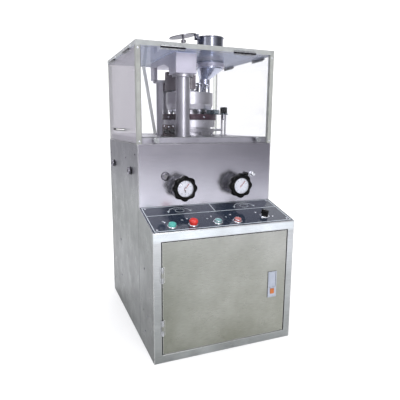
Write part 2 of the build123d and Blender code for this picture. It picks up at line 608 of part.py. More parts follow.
def drive_belt():
    loops = []
    for offset in (BELT_HALF, -BELT_HALF):
        big = Pos(TX, LAYSHAFT_Y) * Circle(PULLEY_PITCH + offset)
        small = Pos(MOTOR_X, LAYSHAFT_Y) * Circle(MOTOR_PITCH + offset)
        loops.append(make_hull([*big.edges(), *small.edges()]))
    outer, inner = (extrude(loop, amount=BELT_Z1 - BELT_Z0) for loop in loops)
    return Pos(0, 0, BELT_Z0) * (outer - inner)


# ---------------------------------------------------------------- feeder and hopper

def feed_frame():
    frame = sector(TX, TY, FEED_Z0, FEED_Z1, 112, 78.5, -58, 66)
    frame += rod_z(TUBE_X, TUBE_Y, FEED_Z0, FEED_Z1, TUBE_R + 5)
    frame -= rod_z(TX, TY, FEED_Z0 - 1, FEED_Z1 + 1, 78.5)
    frame += block(TX + 100, POST_X + 13, POST_Y - 11, POST_Y + 11, LUG_Z0, LUG_Z1)
    frame -= rod_z(POST_X, POST_Y, LUG_Z0 - 1, LUG_Z1 + 1, STUD_R + BORE_GAP)
    return frame - rod_z(TUBE_X, TUBE_Y, FEED_Z0 - 1, FEED_Z1 + 1, TUBE_R - 4)


def discharge_chute():
    """A trough leading back and down from the edge of the die table."""
    long, wide, wall, skin = 150.0, 44.0, 16.0, 2.0
    fall = radians(CHUTE_FALL)
    trough = Box(wide, long, wall) - Pos(0, 0, skin) * Box(wide - 2 * skin, long + 2, wall)
    middle_y = TY + TABLE_R + 4 + long / 2 * cos(fall)
    chute = Pos(TX, middle_y, CHUTE_Z) * Rot(-CHUTE_FALL, 0, 0) * trough
    for along in (-50.0, 50.0):
        y = middle_y + along * cos(fall)
        under = CHUTE_Z - along * sin(fall) - wall / 2 * cos(fall)
        chute += block(TX - 18, TX + 18, y - 2, y + 2, Z_CHAMBER, under + 1)
    return chute


def hopper_bracket():
    arm = block(BRIDGE_X1, HOPPER_X - HOPPER_R, HOPPER_Y - 15, HOPPER_Y + 15, 936, 944)
    arm += ring_z(HOPPER_X, HOPPER_Y, 932, 946, HOPPER_R + 7, HOPPER_R)
    return arm - rod_z(HOPPER_X, HOPPER_Y, 930, 948, HOPPER_R + BORE_GAP)


def cone_between(r0, r1):
    """A leaning cone from the spout's ring up to the barrel's ring."""
    low = Plane.XY.offset(CONE_Z0) * Pos(TUBE_X, TUBE_Y) * Circle(r0)
    high = Plane.XY.offset(HOPPER_Z0) * Pos(HOPPER_X, HOPPER_Y) * Circle(r1)
    return loft([low, high], ruled=True)


def hopper():
    thick = HOPPER_WALL
    outer = rod_z(HOPPER_X, HOPPER_Y, HOPPER_Z0, RIM_Z, HOPPER_R) + cone_between(TUBE_R, HOPPER_R)
    outer += rod_z(TUBE_X, TUBE_Y, TUBE_Z0, CONE_Z0, TUBE_R)
    outer += rod_z(HOPPER_X, HOPPER_Y, RIM_Z - 4, RIM_Z, HOPPER_R + 1.8)
    inner = rod_z(HOPPER_X, HOPPER_Y, HOPPER_Z0, RIM_Z + 1, HOPPER_R - thick)
    for y in (HOPPER_Y - 14, HOPPER_Y + 10):
        outer += block(LID_AXIS_X - 3.5, LID_AXIS_X + 3.5, y, y + 4, RIM_Z - 10, LID_AXIS_Z + 3.5)
        outer += block(LID_AXIS_X + 3, LID_AXIS_X + 12, y, y + 4, RIM_Z - 10, RIM_Z - 1)
    inner += cone_between(TUBE_R - thick, HOPPER_R - thick)
    inner += rod_z(TUBE_X, TUBE_Y, TUBE_Z0 - 1, CONE_Z0, TUBE_R - thick)
    return outer - inner + rod_y(LID_AXIS_X, LID_AXIS_Z, HOPPER_Y - 12, HOPPER_Y + 12, HINGE_PIN_R)


def hopper_lid():
    """The lid as it lies when thrown back, turned from its closed place about its hinge."""
    z0 = RIM_Z + 0.6
    lid = rod_z(HOPPER_X, HOPPER_Y, z0, z0 + 3, LID_R)
    lid += block(LID_AXIS_X, LID_AXIS_X + 14, HOPPER_Y - 9.5, HOPPER_Y + 9.5, z0, z0 + 3)
    lid += rod_y(LID_AXIS_X, LID_AXIS_Z, HOPPER_Y - 9.5, HOPPER_Y + 9.5, KNUCKLE_R)
    lid -= rod_y(LID_AXIS_X, LID_AXIS_Z, HOPPER_Y - 20, HOPPER_Y + 20, HINGE_PIN_R + RUN_GAP)
    lid += rod_z(HOPPER_X, HOPPER_Y, z0 + 3, z0 + 14, 4) + rod_z(HOPPER_X, HOPPER_Y, z0 + 14, z0 + 24, 9)
    return lid.rotate(Axis((LID_AXIS_X, 0, LID_AXIS_Z), (0, 1, 0)), -LID_OPEN)


# ---------------------------------------------------------------- handwheels and controls

def shaft_bushes():
    bushes = Part()
    for x in (-WHEEL_X, WHEEL_X):
        bushes += rod_y(x, WHEEL_Z, Y_PANEL - 3, Y_PANEL, 20) + rod_y(x, WHEEL_Z, Y_PANEL, Y_PANEL + 20, BUSH_R)
        bushes -= rod_y(x, WHEEL_Z, Y_PANEL - 9, Y_PANEL + 29, WHEEL_SHAFT_R + RUN_GAP)
    return bushes


def handwheel(x):
    wheel = rod_y(x, WHEEL_Z, WHEEL_FACE, WHEEL_BACK, WHEEL_R)
    for k in range(LOBES):
        angle = radians(360.0 / LOBES * k)
        lobe_x, lobe_z = x + LOBE_OUT * cos(angle), WHEEL_Z + LOBE_OUT * sin(angle)
        wheel += rod_y(lobe_x, lobe_z, WHEEL_FACE + 3, WHEEL_BACK, LOBE_R)
    wheel -= rod_y(x, WHEEL_Z, WHEEL_FACE - 1, WHEEL_FACE + DIAL_DEEP, DIAL_R)
    wheel += rod_y(x, WHEEL_Z, WHEEL_BACK, HUB_BACK, 24)
    wheel += rod_y(x, WHEEL_Z, HUB_BACK, Y_PANEL + 60, WHEEL_SHAFT_R)
    return wheel + rod_y(x, WHEEL_Z, WHEEL_FACE + 1, WHEEL_FACE + DIAL_DEEP, POINTER_PIN_R)


def pointer(x, y, long, wide, angle):
    """A thin dial hand; angle is from straight up, clockwise as seen from the front."""
    hand = Pos(0, 0, long / 2 - 4) * Box(wide, POINTER_THICK, long + 4)
    hand += Rot(90, 0, 0) * Cylinder(3, POINTER_THICK)
    hand -= Rot(90, 0, 0) * Cylinder(POINTER_PIN_R + RUN_GAP, 9)
    return Pos(x, y, WHEEL_Z) * Rot(0, angle, 0) * hand


def lock_plug():
    plug = rod_y(PLUG_X, PLUG_Z, Y_PANEL - 0.4, Y_PANEL + 16, PLUG_R)
    plug += rod_y(PLUG_X, PLUG_Z, Y_PANEL - 7, Y_PANEL - 0.4, 14.5)
    return plug - block(PLUG_X - 1.2, PLUG_X + 1.2, Y_PANEL - 9, Y_PANEL - 3, PLUG_Z - 5, PLUG_Z + 5)


def ball_lever():
    y = Y_PANEL - 8
    lever = rod_y(LEVER_X, LEVER_Z, Y_PANEL - 13, Y_PANEL - 0.4, 8)
    lever += rod_y(LEVER_X, LEVER_Z, Y_PANEL - 1, Y_PANEL + 20, LEVER_STEM_R)
    lever += rod_x(y, LEVER_Z, LEVER_X - LEVER_LONG, LEVER_X, 3)
    return lever + Pos(LEVER_X - LEVER_LONG, y, LEVER_Z) * Rot(0, 0, 180) * Sphere(7.5)


def push_button(x, up, head_r, head_z0, head_z1):
    """A button on the sloping console, as (distance up the slope, height above it)."""
    button = Pos(x, up, (head_z0 - STEM_DEEP) / 2) * Cylinder(BUTTON_R, head_z0 + STEM_DEEP)
    head = Pos(x, up, (head_z0 + head_z1) / 2) * Cylinder(head_r, head_z1 - head_z0)
    head = fillet(head.edges().sort_by(Axis.Z)[-1], min(2.5, (head_z1 - head_z0) / 3))
    return console * (button + head)


def selector_switch():
    knob = Pos(SELECTOR_X, SELECTOR_UP, -4) * Cylinder(SELECTOR_R, 20)
    grip = Pos(SELECTOR_X, SELECTOR_UP, 0) * Rot(0, 0, SELECTOR_TURN) * Pos(0, 2, 14) * Box(8, 26, 16)
    return console * (knob + grip)


# ---------------------------------------------------------------- write the parts

save("cabinet_shell", cabinet_shell())
save("upper_front_panel", upper_front_panel())
save("control_panel", control_panel())
save("cabinet_door", cabinet_door())
save("lock_body", lock_body())
save("lock_lever", lock_lever())
save("lock_button", lock_button())
save("front_side_latch", side_latch(LATCH_Y[0]))
save("rear_side_latch", side_latch(LATCH_Y[1]))
save("cable_gland", cable_gland())

save("corner_posts", corner_posts())
save("deck_plate", deck_plate())
save("cover_top", cover_top())
save("rear_cover_panel", rear_cover_panel())
save("stay_bar", stay_bar())
save("front_door", front_door())
save("front_door_fittings", front_door_fittings())
save("left_door", left_door())
save("left_door_leaves", left_door_leaves())
save("right_door", mirrored(side_pane()))
save("right_door_leaves", mirrored(left_door_leaves()))
save("fixed_hinge_leaves", fixed_hinge_leaves())

save("tie_columns", tie_columns())
save("bridge_casting", bridge_casting())
save("cam_housing", cam_housing())
save("upper_pressure_roller", pressure_roller(UPPER_ROLLER_Z, UPPER_ROLLER_R))
save("lower_pressure_roller", pressure_roller(LOWER_ROLLER_Z, LOWER_ROLLER_R))
save("turret_housing", turret_housing())
save("dust_ring", dust_ring())
save("clamp_post", clamp_post())
save("clamp_knob", clamp_knob())

save("turret_shaft", turret_shaft())
save("upper_drum", upper_drum())
save("die_table", die_table())
save("lower_drum", lower_drum())
save("upper_punches", upper_punches())
save("lower_punches", lower_punches())

save("main_gear", main_gear())
save("layshaft", layshaft())
save("motor_pulley", motor_pulley())
save("motor_casing", motor_casing())
save("drive_belt", drive_belt())

save("feed_frame", feed_frame())
save("discharge_chute", discharge_chute())
save("hopper_bracket", hopper_bracket())
save("hopper", hopper())
save("hopper_lid", hopper_lid())

save("shaft_bushes", shaft_bushes())
save("handwheel_left", handwheel(-WHEEL_X))
save("handwheel_right", handwheel(WHEEL_X))
save("left_long_pointer", pointer(-WHEEL_X, LONG_POINTER_Y, 22, 1.6, 38))
save("left_short_pointer", pointer(-WHEEL_X, SHORT_POINTER_Y, 14, 2.4, 180))
save("right_long_pointer", pointer(WHEEL_X, LONG_POINTER_Y, 22, 1.6, 40))
save("lock_plug", lock_plug())
save("ball_lever", ball_lever())
save("green_button", push_button(GREEN_X, BUTTON_UP, BUTTON_R, 4, 11))
save("emergency_button", push_button(STOP_X, BUTTON_UP, 14.0, 8, 19))
save("start_button", push_button(START_X, BUTTON_UP, BUTTON_R, 4, 10))
save("lamp_button", push_button(LAMP_X, LAMP_UP, BUTTON_R, 4, 10))
save("selector_switch", selector_switch())
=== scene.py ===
import bmesh
import bpy
from math import atan2, cos, pi, radians, sin
from mathutils import Matrix, Vector


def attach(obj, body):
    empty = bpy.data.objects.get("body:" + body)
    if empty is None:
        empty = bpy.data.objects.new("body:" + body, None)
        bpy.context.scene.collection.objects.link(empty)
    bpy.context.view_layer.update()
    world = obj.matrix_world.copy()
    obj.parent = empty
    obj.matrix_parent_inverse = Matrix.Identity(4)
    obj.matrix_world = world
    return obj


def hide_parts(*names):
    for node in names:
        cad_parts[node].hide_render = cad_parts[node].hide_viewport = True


# A small rotary tablet press. Shapes are in millimetres, in the CAD model's frame, and become metres when a
# mesh is made. Materials and the studio are in metres.

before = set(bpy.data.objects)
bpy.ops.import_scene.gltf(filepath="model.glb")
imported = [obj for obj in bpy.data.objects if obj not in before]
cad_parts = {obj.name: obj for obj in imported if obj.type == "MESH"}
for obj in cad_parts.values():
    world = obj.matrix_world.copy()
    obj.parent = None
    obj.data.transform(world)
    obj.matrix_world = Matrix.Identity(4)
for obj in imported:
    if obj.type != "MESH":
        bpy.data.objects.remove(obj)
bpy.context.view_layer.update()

MM = 0.001
HALF, Y_FRONT, Y_BACK, Y_PANEL = 240.0, -319.5, 319.5, -157.0   # faces of the cabinet
Z_LIP, Z_CONSOLE = 410.6, 453.7                                 # lower and upper edge of the console
SLOPE = atan2(Z_CONSOLE - Z_LIP, Y_PANEL - Y_FRONT)
DOOR_X0, DOOR_X1, DOOR_Z0, DOOR_Z1, DOOR_GAP = -212.0, 213.5, 28.0, 380.0, 2.0
DOOR_PIN_X, DOOR_PIN_Y = -213.0, -323.5
WHEEL_X, WHEEL_Z, WHEEL_FACE = 100.0, 516.0, 212.0              # the face lies this far ahead of y = 0
TX, TY, STATIONS, PITCH_R, FIRST_STATION = 8.0, 44.0, 9, 66.0, 1.0
COLUMN_X, COLUMNS_Y, DECK_TOP = -60.0, (-72, 161), 675.0
HOPPER, MOTOR, CLAMP = (111, 95, 0), (-122, 169, 0), (156, 58, 0)
SMOOTH_BELOW = radians(34.0)
STEEL, BLACK = "polished_steel", "black_plastic"                # the commonest material slots


# -------------------------------- materials

def srgb(r, g, b):
    """A colour given as 0 to 255 display values, as linear light."""
    def linear(v):
        v /= 255
        return v / 12.92 if v <= 0.04045 else ((v + 0.055) / 1.055) ** 2.4
    return (linear(r), linear(g), linear(b), 1.0)


class Nodes:
    """A thin hand for wiring the nodes of a material or a world."""

    def __init__(self, owner, coordinate="Object"):
        owner.use_nodes = True
        self.owner = owner
        self.tree = owner.node_tree
        self.bsdf = self.tree.nodes.get("Principled BSDF")
        self.out = next(node for node in self.tree.nodes if node.name.endswith("Output"))
        self.coords = self.add("ShaderNodeTexCoord").outputs[coordinate]

    def feed(self, socket, source):
        """Link a socket, or set it where the source is a plain value."""
        if isinstance(source, bpy.types.NodeSocket):
            self.tree.links.new(source, socket)
        else:
            socket.default_value = source

    def add(self, kind, links=(), **values):
        node = self.tree.nodes.new(kind)
        for key, value in values.items():
            setattr(node, key, value)
        for key, source in dict(links).items():
            self.feed(node.inputs[key], source)
        return node

    def noise(self, scale, detail=3.0, rough=0.55, stretch=(1, 1, 1)):
        place = self.add("ShaderNodeMapping", {"Vector": self.coords, "Scale": stretch}).outputs[0]
        settings = {"Vector": place, "Scale": scale, "Detail": detail, "Roughness": rough}
        return self.add("ShaderNodeTexNoise", settings).outputs[0]

    def ramp(self, value, low, high, to_low=0.0, to_high=1.0):
        settings = {0: value, 1: low, 2: high, 3: to_low, 4: to_high}
        return self.add("ShaderNodeMapRange", settings, clamp=True).outputs[0]

    def math(self, operation, a, b=0.0):
        return self.add("ShaderNodeMath", {0: a, 1: b}, operation=operation).outputs[0]

    def mix(self, share, a, b, blend="MIX"):
        settings = {0: share, 6: a, 7: b}
        return self.add("ShaderNodeMix", settings, data_type="RGBA", blend_type=blend).outputs[2]

    def tint(self, share, colour, tint):
        """The colour multiplied by a tint, by a share."""
        return self.mix(share, colour, self.mix(1.0, colour, tint, "MULTIPLY"))

    def shader(self, share, a, b):
        return self.add("ShaderNodeMixShader", {0: share, 1: a, 2: b}).outputs[0]

    def axes(self):
        return tuple(self.add("ShaderNodeSeparateXYZ", {0: self.coords}).outputs)

    def edges(self, radius):
        """Softened normal, and a mask that is 1 along the edges."""
        soft = self.add("ShaderNodeBevel", {"Radius": radius}, samples=4).outputs[0]
        hard = self.add("ShaderNodeNewGeometry").outputs["Normal"]
        dot = self.add("ShaderNodeVectorMath", {0: soft, 1: hard}, operation="DOT_PRODUCT").outputs["Value"]
        return soft, self.ramp(dot, 0.995, 0.86)


def finish(name, base, other, rough, metal=0.0, grain=(1, 1, 1), grain_share=0.12, mottle=9.0,
           mottle_share=0.5, bump=0.15, fine=900.0, wear_and_highlight=None, edge=0.0009, low=None, high=None, across=None,
           sides=None, rail=None, speckle=0.0, **sockets):
    """A solid finish: two tones in cloudy patches, a fine grain, worn edges and painted edge highlights, and
    tints by place.

    Each place has its start, its end and its tint: low and high along z, across along x, rail along z on the
    cabinet's front, a painted highlight. A third height ends a high tint. sides has a painted-shade tint for
    the cabinet's outer sides and one for the band across their middle.
    """
    n = Nodes(bpy.data.materials.new(name))
    width, depth, height = n.axes()
    cloud = n.noise(mottle, 4.0, 0.6)
    colour = n.mix(n.ramp(cloud, 0.35, 0.68, 0.0, mottle_share), base, other)
    fine_noise = n.noise(fine, 2.0, 0.5, grain)
    tone = n.ramp(fine_noise, 0.25, 0.75, 1.0 - grain_share, 1.0 + grain_share)
    grey = n.add("ShaderNodeCombineColor", {0: tone, 1: tone, 2: tone}).outputs[0]
    colour = n.mix(1.0, colour, grey, "MULTIPLY")
    if across:
        x0, x1, tint = across
        colour = n.tint(n.ramp(width, x0, x1), colour, tint)
    # Painted shade: the cabinet's outer side faces are darkened, and more so across a band in their middle.
    if sides:
        tint, middle_tint = sides
        outer = n.ramp(n.math("ABSOLUTE", width), HALF * MM - 0.0014, HALF * MM - 0.0006)
        colour = n.tint(outer, colour, tint)
        middle = n.math("MULTIPLY", n.ramp(height, 0.22, 0.34), n.ramp(height, 0.5, 0.4))
        colour = n.tint(n.math("MULTIPLY", outer, middle), colour, middle_tint)
    # Painted highlight: the cabinet's front face is lightened from the rail's height up.
    if rail:
        z0, z1, tint = rail
        front = n.ramp(depth, -0.29, -0.31)
        colour = n.tint(n.math("MULTIPLY", n.ramp(height, z0, z1), front), colour, tint)
    if high:
        z0, z1, tint, *ends = high
        part = n.ramp(height, z0, z1)
        for end in ends:
            part = n.math("MULTIPLY", part, n.ramp(height, end + 0.0006, end))
        colour = n.tint(part, colour, tint)
    if low:
        z0, z1, tint = low
        patch = n.math("MULTIPLY", n.ramp(height, z1, z0), n.ramp(cloud, 0.3, 0.7, 0.6, 1.0))
        colour = n.tint(patch, colour, tint)
    if speckle:
        spots = n.ramp(n.noise(2600.0, 0.0), 0.70, 0.74, 0.0, speckle)
        colour = n.mix(spots, colour, (0.75, 0.77, 0.8, 1))
    soft, edge_mask = n.edges(edge)
    # Lightened edges: real wear on some finishes, painted edge highlights on the bright steels, the grips,
    # the setting plate and the feeder.
    if wear_and_highlight:
        tint, amount = wear_and_highlight
        scuff_and_highlight = n.math("MULTIPLY", edge_mask, n.ramp(n.noise(160.0, 3.0), 0.35, 0.6, amount * 0.55, amount))
        colour = n.mix(scuff_and_highlight, colour, tint)
    smudge = n.math("MULTIPLY", n.noise(mottle * 3.7, 5.0, 0.65), 0.6)
    blend = n.math("ADD", smudge, n.math("MULTIPLY", fine_noise, 0.4))
    relief = n.add("ShaderNodeBump", {"Height": fine_noise, "Normal": soft, "Strength": bump,
                                      "Distance": 0.00008 if metal > 0.5 else 0.0003})
    n.feed(n.bsdf.inputs["Base Color"], colour)
    n.feed(n.bsdf.inputs["Roughness"], n.ramp(blend, 0.35, 0.65, *rough))
    n.feed(n.bsdf.inputs["Metallic"], metal)
    n.feed(n.bsdf.inputs["Normal"], relief.outputs[0])
    for key, value in sockets.items():
        n.bsdf.inputs[key.replace("_", " ")].default_value = value
    return n.owner


def clear_sheet(name, thin_axis, tint, haze_and_reflection, haze_and_reflection_share, edge_colour, edge_share=0.8, gloss=0.6,
                clear_from=None):
    """Clear acrylic: see-through on its faces, milky on its cut edges, with faint scratches, and a cloudy
    tone on its faces: haze on most sheets, a painted reflection on the left side pane.

    thin_axis is the axis its faces look along, and beyond clear_from along y the sheet is clearer.
    """
    n = Nodes(bpy.data.materials.new(name))
    normal = n.add("ShaderNodeNewGeometry").outputs["Normal"]
    turn = n.add("ShaderNodeVectorTransform", {0: normal}, convert_from="WORLD", convert_to="OBJECT",
                 vector_type="NORMAL").outputs[0]
    side = n.add("ShaderNodeSeparateXYZ", {0: turn}).outputs[thin_axis]
    on_edge = n.ramp(n.math("ABSOLUTE", side), 0.75, 0.5)
    scratches = n.noise(70.0, 6.0, 0.7, (1.0, 1.0, 3.0))
    darker_edge = tuple(c * 0.8 for c in edge_colour[:3]) + (1,)
    edge_tone = n.mix(n.ramp(n.noise(45.0, 4.0), 0.3, 0.7), edge_colour, darker_edge)
    n.feed(n.bsdf.inputs["Base Color"], n.mix(on_edge, haze_and_reflection, edge_tone))
    n.feed(n.bsdf.inputs["Roughness"], n.ramp(scratches, 0.4, 0.75, 0.05, 0.2))
    n.feed(n.bsdf.inputs["IOR"], 1.49)
    through = n.add("ShaderNodeBsdfTransparent", {0: tint}).outputs[0]
    shine = n.add("ShaderNodeBsdfGlossy", {"Roughness": n.ramp(scratches, 0.4, 0.75, 0.02, 0.12)}).outputs[0]
    fresnel = n.add("ShaderNodeFresnel", {"IOR": 1.45}).outputs[0]
    face = n.shader(n.math("MULTIPLY", fresnel, gloss), through, shine)
    cloudy_haze_and_reflection = n.ramp(n.noise(3.0, 3.0, 0.5), 0.3, 0.7, haze_and_reflection_share * 0.88, haze_and_reflection_share * 1.12)
    solid = n.math("MAXIMUM", n.math("MULTIPLY", on_edge, edge_share), cloudy_haze_and_reflection)
    if clear_from is not None:
        solid = n.math("MULTIPLY", solid, n.ramp(n.axes()[1], clear_from, clear_from + 0.05, 1.0, 0.12))
    n.feed(n.out.inputs[0], n.shader(solid, face, n.bsdf.outputs[0]))
    return n.owner


CHROME = srgb(226, 227, 232)
# Near-white edges for the cabinet, door, upper panel and deck steel: painted edge highlights.
PAINTED_EDGE_HIGHLIGHT = (srgb(250, 250, 248), 0.95)

